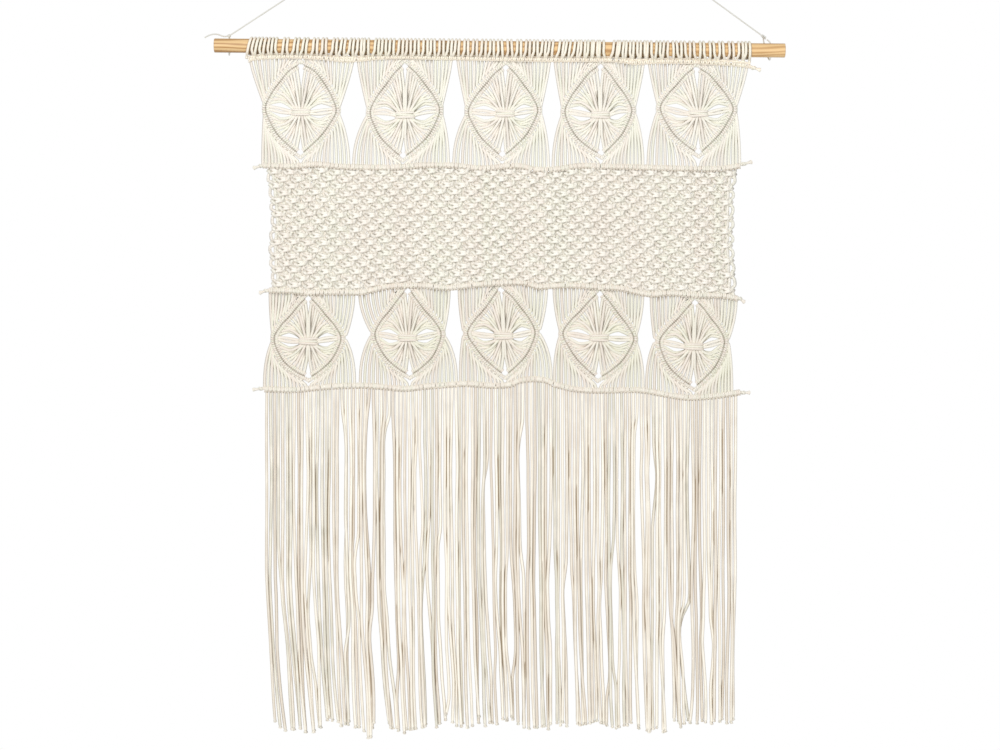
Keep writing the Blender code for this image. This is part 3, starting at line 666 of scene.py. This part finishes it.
def add_heading(cotton):
    """Sixty reverse lark's-head knots: each cord is folded twice over the dowel and held by its own bight behind."""
    rng = random.Random(7)
    left, right = ROWS["first"][0][0], ROWS["first"][-1][0]
    routes = []
    for n, (x, lean) in enumerate(LARKS_HEADS):
        wide = rng.uniform(0.94, 1.08)
        halves = []
        for side in (-1, 1):
            place = left + (right - left) * (2 * n + 1 + 0.5 * side) / (2 * len(LARKS_HEADS)) - x
            leg = side * 4.4 + max(-1.2, min(1.2, place - side * 3.1))
            below = [(leg, 0.4, -19.0, 1), (leg, 0.8, -16.0, 1), (leg, -2.4, -13.4, 1),
                     (0.6 * leg + side * 1.2, -7.6, -11.0, 1)]
            halves.append(below + [(side * dx * wide, y, up, thick) for dx, y, up, thick in STRAP])
        routes.append([(on_dowel(strap_x(x + dx, lean, up), y, up), thick)
                       for dx, y, up, thick in [*halves[0], *reversed(halves[1])]])
    heading = lay("larks_head_knots", routes, STRAP_R, cotton, sides=6)
    # Painted shadow, nearly black, on the bights behind the dowel, and painted shade between and beside the straps.
    behind = [on_dowel(x + dx, 9.0, -10.8) for x, _ in LARKS_HEADS for dx in (-3, 0, 3)]
    heading = shade_near(heading, behind, reach=7.0, strength=0.97, front=-1.0, depth=3.0, back=8.6)
    heading = shade_near(heading, strap_shadows(), reach=2.1, strength=0.62)
    finish_piece(heading, "cotton", *(f"heading_{n}" for n in range(1, 6)))


def strap_lines():
    """Where the straps lie on the front of the dowel."""
    return [on_dowel(strap_x(x + side * STRAP_APART, lean, up), -math.sqrt(DOWEL_R**2 - up**2), up)
            for x, lean in LARKS_HEADS for side in (-1, 1) for up in (-9.5, -8, -6, -4, -2, 0, 2, 4, 6, 8, 9.5)]


def strap_shadows():
    """Between the two straps of each knot, deeper below the dowel, and between close neighbours."""
    spots, seams = [], list(LARKS_HEADS)
    for x, _ in LARKS_HEADS:
        spots += [on_dowel(x + dx, y, up) for dx in (-1.0, 0, 1.0)
                  for y, up in ((-8.0, -7.6), (-6.4, -9.4), (-4.0, -10.6), (0, -11.0))]
    for (a, lean_a), (b, lean_b) in zip(LARKS_HEADS, LARKS_HEADS[1:]):
        if b - a < CLOSE:
            seams.append(((a + b) / 2, (lean_a + lean_b) / 2))
    return spots + [on_dowel(strap_x(x, lean, up), -10.2 + abs(up) * 0.16, up)
                    for x, lean in seams for up in (-7, -4, -1, 2, 5)]


# Hitch rows

ROW_SHADOWS = 150
FRAYS = 12  # loose fibres of a cut end
FRAY_LENGTH = 5.0


def row_drop(name, x):
    return between(ROWS[name], x)


def hitch(name, radius, cord, shifts, cotton):
    """Turns of a half hitch in front of their filler cord. shifts: (middle, top, bottom) of each along the rope."""
    routes = []
    for middle, top, bottom in shifts:
        route = []
        for a in (-128, -92, -60, -30, 0, 30, 60, 92, 128):
            lift = math.sin(math.radians(a))
            x = middle + (top if lift > 0 else bottom) * abs(lift)
            route.append(Vector((x, -radius * math.cos(math.radians(a)), radius * lift)) * MM)
        routes.append(route)
    return lay(name, routes, cord, cotton, steps=1)


def row_spots(name, y=0.0, shift=0.0):
    """The net's cords along a row: the place of each, with the slope there; shift is along the drop."""
    line = smooth(ROWS[name], 1.0)
    spots = []
    for i in range(NET_CORDS):
        at = (len(line) - 1) * (i + 0.5) / NET_CORDS
        a, b = line[int(at)], line[min(int(at) + 1, len(line) - 1)]
        p = a.lerp(b, at % 1)
        spots.append((on_net(p.x, y, p.y + shift), math.atan2(b.y - a.y, b.x - a.x)))
    return spots


def row_shadows(name):
    """Where shade gathers below the rope."""
    line = smooth(ROWS[name], 1.0)
    places = (line[round((len(line) - 1) * i / ROW_SHADOWS)] for i in range(ROW_SHADOWS + 1))
    return [on_net(p.x, y, p.y + ROW_HALF[name] + 0.2) for p in places for y in (-3.4, -1.6)]


def row_cord(name, step, y, shift):
    """A route along a row, shifted along the drop."""
    return [on_net(p.x, y, p.y + shift) for p in smooth(ROWS[name], step)]


def shaded_below(thing, name):
    """The same piece, with painted shade just below a row's rope."""
    return shade_near(thing, row_shadows(name), reach=2.3, strength=1.0)


def add_hitch_row(number, name, cotton):
    """A filler cord under two turns of each of the net's cords, and its knotted, fraying ends."""
    half = ROW_HALF[name]
    first = name == "first"
    cord = FIRST_HITCH_R if first else HITCH_R
    turns = hitch("double_half_hitch", half - cord, cord, [(-1.5, 0.15, 0.45), (1.5, -0.15, -0.45)], cotton)
    # The filler is painted darker, as shade where it shows between the turns; a thin cord just below the rope carries a
    # painted shadow line.
    laid = [repeat(f"hitches_{number}", turns, row_spots(name), cotton, uneven=(0.05, 0.03), seed=10 + number),
            lay(f"filler_{number}", [row_cord(name, 12.0, 0.2, 0)], half - 2 * cord + 1.0, cotton, crevice=0.6),
            lay(f"seam_{number}", [row_cord(name, 2.0, -2.9, half - 0.1)], SHADOW_LINE_R, cotton, crevice=0.12)]
    ends = []
    rng = random.Random(30 + number)
    for tail in ROW_TAILS[name]:
        ends.append([on_net(x, -0.8, d) for x, d in tail])
        x, d = tail[1]
        ends.append([on_net(x + 2.3 * math.cos(a), -0.8 - 2.6 * math.sin(a), d + 1.2 * math.sin(2 * a))
                     for a in (math.pi * i / 4 for i in range(9))])
        ends += tuft(Vector(tail[-1]), Vector(tail[-1]) - Vector(tail[-2]), rng, -0.8)
    laid.append(lay(f"row_ends_{number}", ends, ROW_END_R, cotton))
    if first:
        laid.append(lay("heading_cord", [row_cord(name, 12.0, 0.8, -half - 1.1)], HEADING_CORD_R, cotton))
    rope = joined(f"hitch_row_{number}_cords", laid)
    # Painted shadow dots just below the rope, and fainter painted shade along its top.
    rope = shade_near(rope, row_shadows(name), reach=1.8, strength=0.4 if first else 1.0)
    above = [spot for spot, _ in row_spots(name, -2.0, 0.2 - half)]
    rope = shade_near(rope, above, reach=1.5, strength=0.1 if first else 0.25)
    finish_piece(rope, "cotton", f"hitch_row_{number}")


def tuft(tip, way, rng, y):
    """Loose fibres of a cut cord's end, spreading from its tip."""
    way = way.normalized()
    across = Vector((-way.y, way.x))
    strands = []
    for _ in range(FRAYS):
        spread, lift = rng.uniform(-0.42, 0.42), rng.uniform(-1.2, 1.2)
        reach = FRAY_LENGTH * rng.uniform(0.6, 1.0)
        route = []
        for t in (-0.3, 0.2, 0.6, 1.0):
            p = tip + way * reach * t + across * spread * reach * max(t, 0)
            route.append((on_net(p.x, y + lift * max(t, 0.2), p.y), 0.42 - 0.22 * t))
        strands.append(route)
    return strands


# Diamonds

RIM_RIBS = 25  # on each side of the groove, from the side corner to a tip
RIB_PITCH = 3.3
RIB_REACH = 3.0  # from the groove
CORD_REACH = 2.6  # from the groove to where the cords come out from under the ribs
SPREAD = 1.62  # how wide, in radii, a cord lies outside the rim
RIM_SPREAD = [1.8, 1.7, 0.85, 0.85, 1.4, 1.25]  # and from just outside the rim to just inside it
BEHIND = 0.8  # depth of the cords outside the rim and under it
# Depth of a cord at the knot, by its turn, and how far each cord bows before it gets there.
LAYERS = (-3.0, 0.8, 3.2)
SIDE_LAYER = -1.2  # of the cord from the side corner
BOWS = (0.0, 6.5, 6.5, 5.6, 4.6, 3.6, 2.6, 1.8, 1.1, 0.6, 0.3, 0.0)
# Half of a turn round the knot, seen from below: (x, y).
HALF_WRAP = [(5, -6.9), (10.6, -5.8), (13.4, -2.2), (13.2, 2.0), (10.5, 5.0)]


def side_line(part, s):
    """A function for the groove down the left (0) or right (1) side of a diamond: the point, the way along and the
    way out at a place, which is -1 at the top, 0 at the side corner and 1 at the bottom."""
    way = 2 * s - 1
    corner = Vector(part[("left", "right")[s]])
    halves = []
    for down, end in ((-1, Vector(part["top"])), (1, Vector(part["bottom"]))):
        bulge = part["bulges"][2 * (down > 0) + s]
        reach = end - corner
        out = Vector((way * abs(reach.y), down * abs(reach.x))).normalized()
        near, far = (0.8 * bulge, 0.6 * bulge) if down > 0 else (2.5 + 0.5 * bulge, 0.9 * bulge)
        halves.append([corner + reach * t + out * size for t, size in ((0.25, near), (0.5, bulge), (0.75, far))]
                      + [end + Vector((way * 5.0, down * -4.5))])
    line = smooth([*reversed(halves[0]), corner, *halves[1]], 1.0)
    nearest = min(range(len(line)), key=lambda i: (line[i] - corner).length)

    def at(f):
        place = nearest * (1 + f) if f < 0 else nearest + (len(line) - 1 - nearest) * f
        i = min(max(int(place), 0), len(line) - 2)
        point = line[i].lerp(line[i + 1], place - i)
        along = (line[min(i + 4, len(line) - 1)] - line[max(i - 3, 0)]).normalized()
        out = Vector((along.y, -along.x)) * way
        return point, along, -out if out.x * way < 0 else out

    return at


def rib_spots(at):
    """The ribs on both sides of the groove, and the outer ones on past its ends: (place, slope)."""
    spots = []
    for i in range(-RIM_RIBS - 3, RIM_RIBS + 3):
        f = (i + 0.5) / RIM_RIBS
        point, along, out = at(max(min(f, 1), -1))
        if abs(f) > 1:
            point = point + along * (RIB_PITCH * (abs(i + 0.5) - RIM_RIBS) * math.copysign(1, f))
        for reach in (RIB_REACH, -RIB_REACH) if abs(f) < 1 else (RIB_REACH,):
            p = point + out * reach
            spots.append((on_net(p.x, -0.4, p.y), math.atan2(along.y, along.x)))
    return spots


def outer_route(start, point, out, way, waist, swing):
    """Points of a cord from its row to the diamond's rim, held inside the waist; swing is how late it turns aside."""
    enter, turn = point + out * 6.0, point + out * 9.0
    for p in (enter, turn):
        p.x = way * min(way * p.x, way * waist - 3.4)
    room = abs(start.y - turn.y)
    points = [start]
    for t in (0.25, 0.5, 0.72, 0.88) if room > 22 else (0.5,) if room > 8 else ():
        points.append(Vector((start.x + (turn.x - start.x) * t**swing, start.y + (turn.y - start.y) * t)))
    if room > 8:
        points.append(turn)
    return points + [enter, point + out * CORD_REACH]


def side_cord(part, at, s, k, layer, ends, rng):
    """A cord from the row above a diamond, in over the rim, past the knot and out again to the row below.

    k counts the cords of a side from its corner to its tip. ends gives for the upper and the lower half: the way
    down, the row with its swing, and the names of the outline and of the tip. Returns (place, thickness) points.
    """
    way, knot = 2 * s - 1, Vector(part["knot"])
    share = (k + 0.5) / SIDE_CORDS
    gather = way * (12.5 - 11.9 * (k / (SIDE_CORDS - 1)))  # from the knot's middle, where the cord passes it
    slim = 0.72 if layer < 0 else 0.75
    route = []
    for half, (row, swing), edge, tip in ends:
        point, _, out = at(half * share)
        x = part[edge][s] + (part[tip][0] + way * 0.2 - part[edge][s]) * share + rng.uniform(-0.4, 0.4)
        outside = outer_route(Vector((x, row_drop(row, x))), point, out, way, part["waist"][s], swing)
        steep = 0.42 * share**4
        inner = point - (out * (1 - steep) + Vector((0, half)) * steep) * 6.4
        into = knot + Vector((gather, half * (4.9 if k else 1.0)))
        bow = BOWS[k] + rng.uniform(-0.4, 0.4)
        arch = inner.lerp(into, 0.42) + Vector((0, half * bow))
        arch2 = inner.lerp(into, 0.78) + Vector((0, half * bow * 0.62))
        if k == SIDE_CORDS - 1:
            arch.x -= way * 1.3
        if k == 0:
            slack = part["slack"][s]
            arch.y += slack * 3.5 + half * 1.2
            arch2.y += slack * 2.5 + half * 0.8
        inside = [point - out * CORD_REACH, inner, arch, arch2, into]
        depth = [BEHIND] * len(outside) + [BEHIND, 0.2, layer * 0.5, layer * 0.9, layer]
        thick = [SPREAD] * (len(outside) - 3) + RIM_SPREAD + [(1 + slim) / 2, slim]
        run = list(zip([*outside, *inside], depth, thick))
        if half < 0:
            route += run + [(knot + Vector((gather * 0.86, 0)), layer * 0.9, slim)]
        else:
            route += reversed(run)
    return [(on_net(p.x, y, p.y), thick) for p, y, thick in route]


def knot_wraps(knot, rng):
    """Three turns round the middle of a diamond, and a bar across behind it."""
    turn = [*((-x, y) for x, y in reversed(HALF_WRAP)), (0, -7.2), *HALF_WRAP]
    routes = []
    for level in (-3.4, 0.0, 3.3):
        tilt = rng.uniform(-0.9, 0.9)
        routes.append([on_net(knot.x + x, y, knot.y + level + tilt * x / 14) for x, y in turn])
    return routes + [[on_net(knot.x + x, 5.8, knot.y + x * 0.05) for x in (-10, -5, 0, 5, 10)]]


def knot_shadows(knot):
    """Where the cords run in behind each other, above and below the knot and towards the top."""
    spots = [(x, half * 5) for half in (-1, 1) for x in range(-9, 10, 3)]
    spots += [(x, half * 11) for half in (-1, 1) for x in (-4, 0, 4)]
    spots += [(x, down) for down in (-19, -26) for x in (-3, 0, 3)]
    return [on_net(knot.x + x, 0, knot.y + down) for x, down in spots]


def add_motif(tier, number, numbers, cotton):
    """A diamond: its grooved rim of ribs, and 24 cords that gather at the knot in its middle."""
    part = dict(zip(MOTIF_COLUMNS, numbers))
    knot = Vector(part["knot"])
    lower = tier == "lower"
    ends = list(zip((-1, 1), MOTIF_ROWS[tier], ("above", "foot"), ("top", "bottom")))
    rng = random.Random(100 * lower + number)
    lead = 1 + (number + lower) % 2  # which cords lie in front at the knot
    spots, routes, grooves, backs, groove_shade_dots = [], [], [], [], []
    for s, way in enumerate((-1, 1)):
        at = side_line(part, s)
        waist = part["waist"][s]
        spots += rib_spots(at)
        grooves.append([on_net(p.x, -2.3, p.y) for p in (at(i / 20)[0] for i in range(-20, 21))])
        line = [at(i / 19) for i in range(-19, 20)]
        outer = [point + out * 5.4 for point, _, out in line]
        backs.append([on_net(way * min(way * p.x, way * waist - 1.8), 0.7, p.y) for p in outer])
        groove_shade_dots += [on_net(point.x, -3.0, point.y) for point, _, _ in line]
        routes += [side_cord(part, at, s, k, LAYERS[(k + lead) % 3] if k else SIDE_LAYER, ends, rng)
                   for k in range(SIDE_CORDS)]
    rib = hitch("rib", 1.75, RIB_R, [(0, 0.25, -0.25)], cotton)
    piece = joined(f"{tier}_diamond_{number}", [
        lay("cords", routes, COTTON_R, cotton, aside=0.35),
        repeat("ribs", rib, spots, cotton, uneven=(0.06, 0.04), seed=number + 20 * lower),
        # a thin cord in the groove, painted darker as the shade in it
        lay("rim_filler", grooves, GROOVE_R, cotton, crevice=0.45),
        lay("rim_backing", backs, BACKING_R, cotton),
        lay("wraps", knot_wraps(knot, rng), WRAP_R, cotton)])
    # Painted shade dots along the groove, and painted shade where the cords run in behind each other near the knot.
    piece = shade_near(piece, groove_shade_dots, reach=1.5, strength=1.0)
    piece = shade_near(piece, knot_shadows(knot), reach=14.0, strength=1.0, front=-1.8, depth=2.4, back=2.6)
    for row, _ in MOTIF_ROWS[tier]:
        piece = shaded_below(piece, row)
    finish_piece(piece, "cotton", f"{tier}_motif_{number}")


# Band

# Places (x, y, up) of the four cords in a square knot, from its middle: a worker, two fillers and the other worker.
SQUARE_KNOT = [
    [(-8.6, 0.4, 4.8), (-5.6, -0.6, 3.5), (-2.7, -3.3, 2.2), (0, -4.4, 1.6), (2.7, -3.3, 1.4), (5.6, -0.6, 1.3),
     (9.6, 0.4, 0.6), (9.6, 0.5, -0.6), (5.6, -0.6, -1.2), (2.7, -3.3, -1.5), (0, -4.4, -1.6), (-2.7, -3.3, -2.2),
     (-5.6, -0.6, -3.4), (-8.6, 0.4, -4.8)],
    [(-2.5, 0, 4.8), (-2.5, 0.2, -4.8)],
    [(2.5, 0, 4.8), (2.5, 0.2, -4.8)],
    [(8.6, 0.4, 4.8), (8.2, -1.6, 3.7), (7.2, -2.2, 1.8), (6.2, -1.2, -0.2), (2.6, 2.6, 0.2), (-2.6, 2.6, 0.2),
     (-7.4, 1.6, 0.5), (-10.2, 0.0, 0.4), (-9.4, -1.4, -0.5), (-7.4, -2.2, -2.0), (-5.8, -1.4, -3.8),
     (-4.2, 1.2, -4.2), (-1.0, 2.6, -3.8), (4.0, 2.2, -3.8), (8.6, 0.4, -4.8)],
]


ROPE_GAP = 4.2  # from the middle of a rope to the band


def band_place(lane, v, dx, y, dz):
    """A place in the band: lane counts cords from its left edge, v goes from 0 at the top to 1; moved by dx and dz."""
    share = lane / NET_CORDS
    guess = 180 + 175 * v  # about the drop there
    left, right = (between([(edge[0], edge[side]) for edge in BAND_SIDES], guess) for side in (1, 2))
    x = left * (1 - share) + right * share
    top, bottom = row_drop("second", x) + ROPE_GAP, row_drop("third", x) - ROPE_GAP
    return on_net(x + dx, y, top + (bottom - top) * v - dz)


def add_band(knotted):
    """Alternating square knots: each cord is a worker in one row of knots and a filler in the next."""
    rng = random.Random(5)
    wander = [[(rng.uniform(-0.9, 0.9), rng.uniform(-0.8, 0.8), rng.uniform(-0.13, 0.13)) for _ in range(BAND_COLUMNS)]
              for _ in range(BAND_ROWS)]
    halves, knot_gap_shade = {"left": [], "right": []}, []
    for n in range(NET_CORDS):
        lane = n + 0.5
        route = [band_place(lane, 0.0, 0, 0, 3)]
        for r in range(BAND_ROWS):
            v = (r + 0.5) / BAND_ROWS
            shift = 2 * (r % 2)
            group, role = divmod(n - shift, 4)
            if group < 0 or group >= BAND_COLUMNS - r % 2:
                out = (-1 if n < 2 else 1) * (3.2 if n in (0, NET_CORDS - 1) else 0.4)
                route += [band_place(lane, v, out * 0.8, y, up) for y, up in ((-0.3, 3.0), (-0.5, -3.0))]
                continue
            centre = 4 * group + 2 + shift
            dx, dz, tilt = wander[r][group]
            route += [(band_place(centre, v, x + dx + tilt * up, y, up + dz - tilt * x), 1.14 if y < -4 else 1.0)
                      for x, y, up in SQUARE_KNOT[role]]
            if role == 0:
                # painted shade spots in the gap beside each knot
                knot_gap_shade += [band_place(centre, v, x + dx, -1.6, 0.4 + dz) for x in (10.0, 13.4)]
        route.append(band_place(lane, 1.0, 0, 0, -3))
        halves["left" if n < NET_CORDS / 2 else "right"].append(route)
    for lane in range(2, NET_CORDS, 2):  # plain cords behind the knots
        halves["left" if lane <= NET_CORDS / 2 else "right"].append([band_place(lane, v / 12, 0, 1.6, 0)
                                                                     for v in range(13)])
    for side, routes in halves.items():
        piece = lay(f"square_knots_{side}", routes, KNOT_R, knotted)
        piece = shade_near(shaded_below(piece, "second"), knot_gap_shade, reach=2.1, strength=0.5)
        finish_piece(piece, "cotton", "knot_band")


# Fringe

FRINGE_RUNS = 25
HALF_SPACING = 2.95  # of the cords
PARTING_REACH = 21.0  # how far from its middle a parting moves the cords
# Drop of the cut ends, and how far the cords have drifted across by then, along x.
FRINGE_ENDS = [
    (-337, 1004), (-329, 1011), (-320, 1022), (-308, 1020), (-292, 1022), (-269, 1019), (-257, 1001), (-238, 1011),
    (-221, 1011), (-193, 1034), (-184, 1010), (-164, 1020), (-140, 1023), (-122, 1016), (-94, 1013), (-77, 999),
    (-62, 1015), (-43, 1015), (-36, 1004), (-23, 1012), (-5, 1010), (6, 1003), (19, 1000), (34, 1014), (52, 1015),
    (74, 1019), (84, 1008), (110, 1016), (140, 1010), (170, 1018), (200, 1012), (223, 1026), (237, 1018), (253, 1025),
    (262, 1007), (275, 1013), (284, 1002), (295, 1010), (311, 1008), (330, 1007), (352, 1006), (357, 1012),
]
FRINGE_DRIFT = [(-350, 12), (-341, 20), (-320, 18), (-280, 13), (-200, 8), (0, 6), (100, 4), (300, 1), (361, -2)]
# Partings between bunches: (drop, x, width) along each.
FRINGE_PARTINGS = [
    [(740, -332, 0), (830, -331, 4), (900, -326, 9), (1020, -315, 7)],
    [(760, -286, 0), (850, -284, 4), (890, -279, 5), (950, -275, 0)],
    [(540, -237, 0), (600, -236, 5), (700, -237, 5), (830, -231, 5), (910, -227, 0)],
    [(730, -219, 0), (800, -213, 5), (860, -212, 0)],
    [(520, -196, 0), (600, -195, 6), (700, -194, 6), (820, -192, 0)],
    [(840, -188, 0), (890, -187, 6), (940, -183, 6), (1020, -176, 13)],
    [(550, -171, 0), (600, -170, 5), (700, -168, 8), (800, -165, 8), (860, -161, 5), (920, -158, 6), (970, -155, 0)],
    [(590, -122, 0), (640, -121, 5), (700, -119, 5), (760, -118, 0)],
    [(770, -116, 0), (860, -112, 4), (940, -106, 4), (1020, -101, 5)],
    [(720, -91, 0), (780, -88, 6), (860, -86, 7), (950, -79, 7), (1000, -75, 0)],
    [(620, -20, 0), (670, -20, 5), (760, -17, 7), (830, -16, 5), (900, -12, 5), (940, -10, 0)],
    [(760, 12, 0), (820, 15, 5), (900, 19, 5), (940, 21, 0)],
    [(560, 33, 0), (620, 34, 5), (740, 35, 5), (790, 36, 0)],
    [(750, 79, 0), (800, 80, 5), (860, 81, 5), (900, 82, 0)],
    [(780, 98, 0), (830, 101, 5), (1020, 109, 5)],
    [(800, 154, 0), (850, 156, 6), (920, 160, 6), (970, 162, 0)],
    [(740, 171, 0), (810, 173, 5), (920, 173, 4), (960, 173, 0)],
    [(550, 206, 0), (600, 207, 5), (790, 209, 5), (830, 210, 0)],
    [(600, 228, 0), (640, 229, 4), (710, 230, 0)],
    [(850, 252, 0), (890, 253, 7), (1020, 258, 6)],
    [(830, 273, 0), (880, 275, 5), (980, 286, 5), (1010, 289, 0)],
    [(860, 311, 0), (890, 312, 5), (960, 313, 0)],
]


def lowness(t):
    """0 down to just past the middle of a fringe cord, then rising to 1 at its end."""
    return max(0.0, (t - 0.55) / 0.45) ** 1.3


def parted(across, drop, sides):
    """Where a cord at x lies once the partings that it passes have moved it to its own side of each."""
    for line, side in zip(FRINGE_PARTINGS, sides):
        if not line[0][0] < drop < line[-1][0] + 30:
            continue
        middle, width = (between([(point[0], point[i]) for point in line], drop) for i in (1, 2))
        away = side * (across - middle)
        if width > 0 and away < PARTING_REACH:
            push = width / 2 + max(0, HALF_SPACING - away) * min(1, width / 3)
            across += side * push * (1 - max(0, away - HALF_SPACING) / (PARTING_REACH - HALF_SPACING))
    return across


def leans(rng):
    """How far each cord is from the middle of its bunch of one to four, in cord spacings."""
    found = []
    while len(found) < NET_CORDS:
        size = min(rng.choice((1, 2, 2, 3, 3, 4)), NET_CORDS - len(found))
        found += [(size - 1) / 2 - k for k in range(size)]
    return found


def touch_shade_points(lines):
    """Points of painted shade where neighbouring cords touch. lines: for each cord, (drop, x, y) down it."""
    points = []
    for n, line in enumerate(lines):
        for other in (n - 1, n + 1):
            if not 0 <= other < len(lines):
                continue
            across = [(drop, x) for drop, x, _ in lines[other]]
            depths = [(drop, y) for drop, _, y in lines[other]]
            for one, two in zip(line, line[1:]):
                for share in (0, 0.5):
                    drop, x, y = (a + (b - a) * share for a, b in zip(one, two))
                    beside = between(across, drop)
                    tight = math.sin(1.9 * max(n, other) + drop / 45) > -0.5  # loose here and there
                    if abs(beside - x) < 2 * HANGING_R and tight:
                        points.append(on_net((x + beside) / 2, (y + between(depths, drop)) / 2 - 0.4, drop))
    return points


def add_fringe(hanging_cotton):
    """Cut cords below the last row, nearly straight, parting here and there into bunches."""
    rng = random.Random(12)
    bunching = random.Random(31)
    bunches = [leans(bunching) for _ in range(3)]
    left, right = ROWS["fourth"][0][0] + 1, ROWS["fourth"][-1][0] - 4
    pitch = (right - left) / NET_CORDS
    ends, lines, thicknesses = [], [], []
    for n in range(NET_CORDS):
        x = left + pitch * (n + 0.5)
        drawn = [(0.04, 0), *((t, 0.24 * pitch * bunch[n]) for t, bunch in zip((0.25, 0.6, 0.95), bunches))]
        own, own_phase, splay = rng.uniform(0.3, 1.3), rng.uniform(0, 6.28), rng.gauss(0, 2.4)
        shift, thick = rng.uniform(-1.2, 1.2), rng.uniform(0.86, 1.1)
        depth = (n % 3 - 1) * 1.7 + rng.uniform(-0.9, 0.9)
        top = row_drop("fourth", x)
        drift = between(FRINGE_DRIFT, x)
        end = between(FRINGE_ENDS, x + drift) + rng.uniform(-5, 3)
        sides = []
        for line in FRINGE_PARTINGS:
            drop, middle, _ = line[len(line) // 2]
            sides.append(1 if x + drift * lowness((drop - top) / (end - top)) > middle else -1)
        cord = []
        for i in range(FRINGE_RUNS + 1):
            t = i / FRINGE_RUNS
            drop = top + 1.5 + (end - top - 1.5) * t
            low = lowness(t)
            across = parted(x + drift * low, drop, sides)
            across += own * 0.75 * math.sin(4.3 * math.pi * t + own_phase) * min(1, t * 3) * (0.5 + t)
            across += between(drawn, t) + splay * low + shift * 0.4 * min(1, t * 12)
            cord.append((drop, across, (depth + 0.6 * math.sin(5 * t + own_phase)) * min(1.0, t * 5)))
        lines.append(cord)
        thicknesses.append([thick * rng.uniform(0.94, 1.05) for _ in cord])
        before, last = (Vector((across, drop)) for drop, across, _ in cord[-2:])
        ends += tuft(last, last - before, rng, depth)
    routes = [[(on_net(x, y, drop), thick) for (drop, x, y), thick in zip(*cord)] for cord in zip(lines, thicknesses)]
    hanging = lay("hanging_cords", routes, HANGING_R, hanging_cotton, sides=6, aside=0.5)
    # Painted shade where neighbouring cords touch.
    hanging = shade_near(hanging, touch_shade_points(lines), reach=2.0, strength=1.0)
    frays = lay("frays", ends, FRAY_R, hanging_cotton, sides=3, steps=1)
    piece = joined("fringe_cords", [hanging, frays])
    finish_piece(shaded_below(piece, "fourth"), "cotton", "fringe")


# Stage

MIDDLE = Vector((NET_SHIFT * MM, 0, -0.8))  # of the hanging
FLOOR_Z = -2.15
LENS, SENSOR = 85.0, 36.0
SEEN_WIDTH = 1.5  # metres, where the hanging is


def add_stage():
    """White surround, a pale floor and two soft lamps."""
    world = bpy.data.worlds.new("white surround")
    world.use_nodes = True
    tree = world.node_tree
    seen = add_node(tree, "ShaderNodeLightPath", out="Is Camera Ray")
    feed(tree, tree.nodes["Background"], {"Color": (1.0, 1.0, 1.0, 1.0),
                                          "Strength": ranged(tree, seen, 0.0, 1.0, 0.52, 1.0)})
    bpy.context.scene.world = world
    bpy.context.scene.view_settings.view_transform = "Standard"
    mesh = bmesh.new()
    bmesh.ops.create_grid(mesh, x_segments=1, y_segments=1, size=1.3)
    bmesh.ops.translate(mesh, vec=(MIDDLE.x, 0, FLOOR_Z), verts=mesh.verts)
    pale, tree, shader = new_material("pale floor")
    feed(tree, shader, {"Base Color": (0.9, 0.9, 0.9, 1), "Roughness": 0.8})
    plain_object("floor", mesh, pale)
    for name, place, size, power in (("key", (-0.9, -3.1, 0.4), 1.0, 55.0), ("fill", (1.1, -3.2, -1.0), 1.2, 24.0)):
        data = bpy.data.lights.new(name, "AREA")
        data.size = size
        data.energy = power
        lamp = new_object(name, data)
        lamp.location = place
        lamp.rotation_euler = (MIDDLE - Vector(place)).to_track_quat("-Z", "Y").to_euler()


def add_camera():
    data = bpy.data.cameras.new("camera")
    data.lens = LENS
    data.sensor_width = SENSOR
    camera = new_object("camera", data)
    camera.location = (-0.015, -SEEN_WIDTH * LENS / SENSOR, -0.7815)
    camera.rotation_euler = (math.pi / 2, 0, 0)
    bpy.context.scene.camera = camera


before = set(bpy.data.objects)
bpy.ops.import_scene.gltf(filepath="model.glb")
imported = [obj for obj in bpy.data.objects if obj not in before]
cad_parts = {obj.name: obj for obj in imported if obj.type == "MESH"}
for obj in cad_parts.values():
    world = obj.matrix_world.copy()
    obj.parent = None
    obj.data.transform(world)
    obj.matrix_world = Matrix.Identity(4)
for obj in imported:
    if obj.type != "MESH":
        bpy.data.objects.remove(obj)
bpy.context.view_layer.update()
add_camera()
TREES = {"laid cord": laid_cord_tree(), "repeated knot": repeat_tree(), "crevice shade": painted_shade_tree()}
spun = spun_cotton_group()
yarns = {name: cotton_material(name, spun) for name in YARNS}
add_tail(yarns["hanging twine"])
add_hanging_cord(yarns["hanging twine"])
add_dowel(pine_material())
add_heading(yarns["strap cotton"])
for number, name in enumerate(ROWS, 1):
    add_hitch_row(number, name, yarns["strap cotton" if number == 1 else "bright cotton"])
for tier, motifs in MOTIFS.items():
    for number, numbers in enumerate(motifs, 1):
        add_motif(tier, number, numbers, yarns["pale cotton" if tier == "upper" else "natural cotton"])
add_band(yarns["knotted cotton"])
add_fringe(yarns["hanging cotton"])
add_stage()
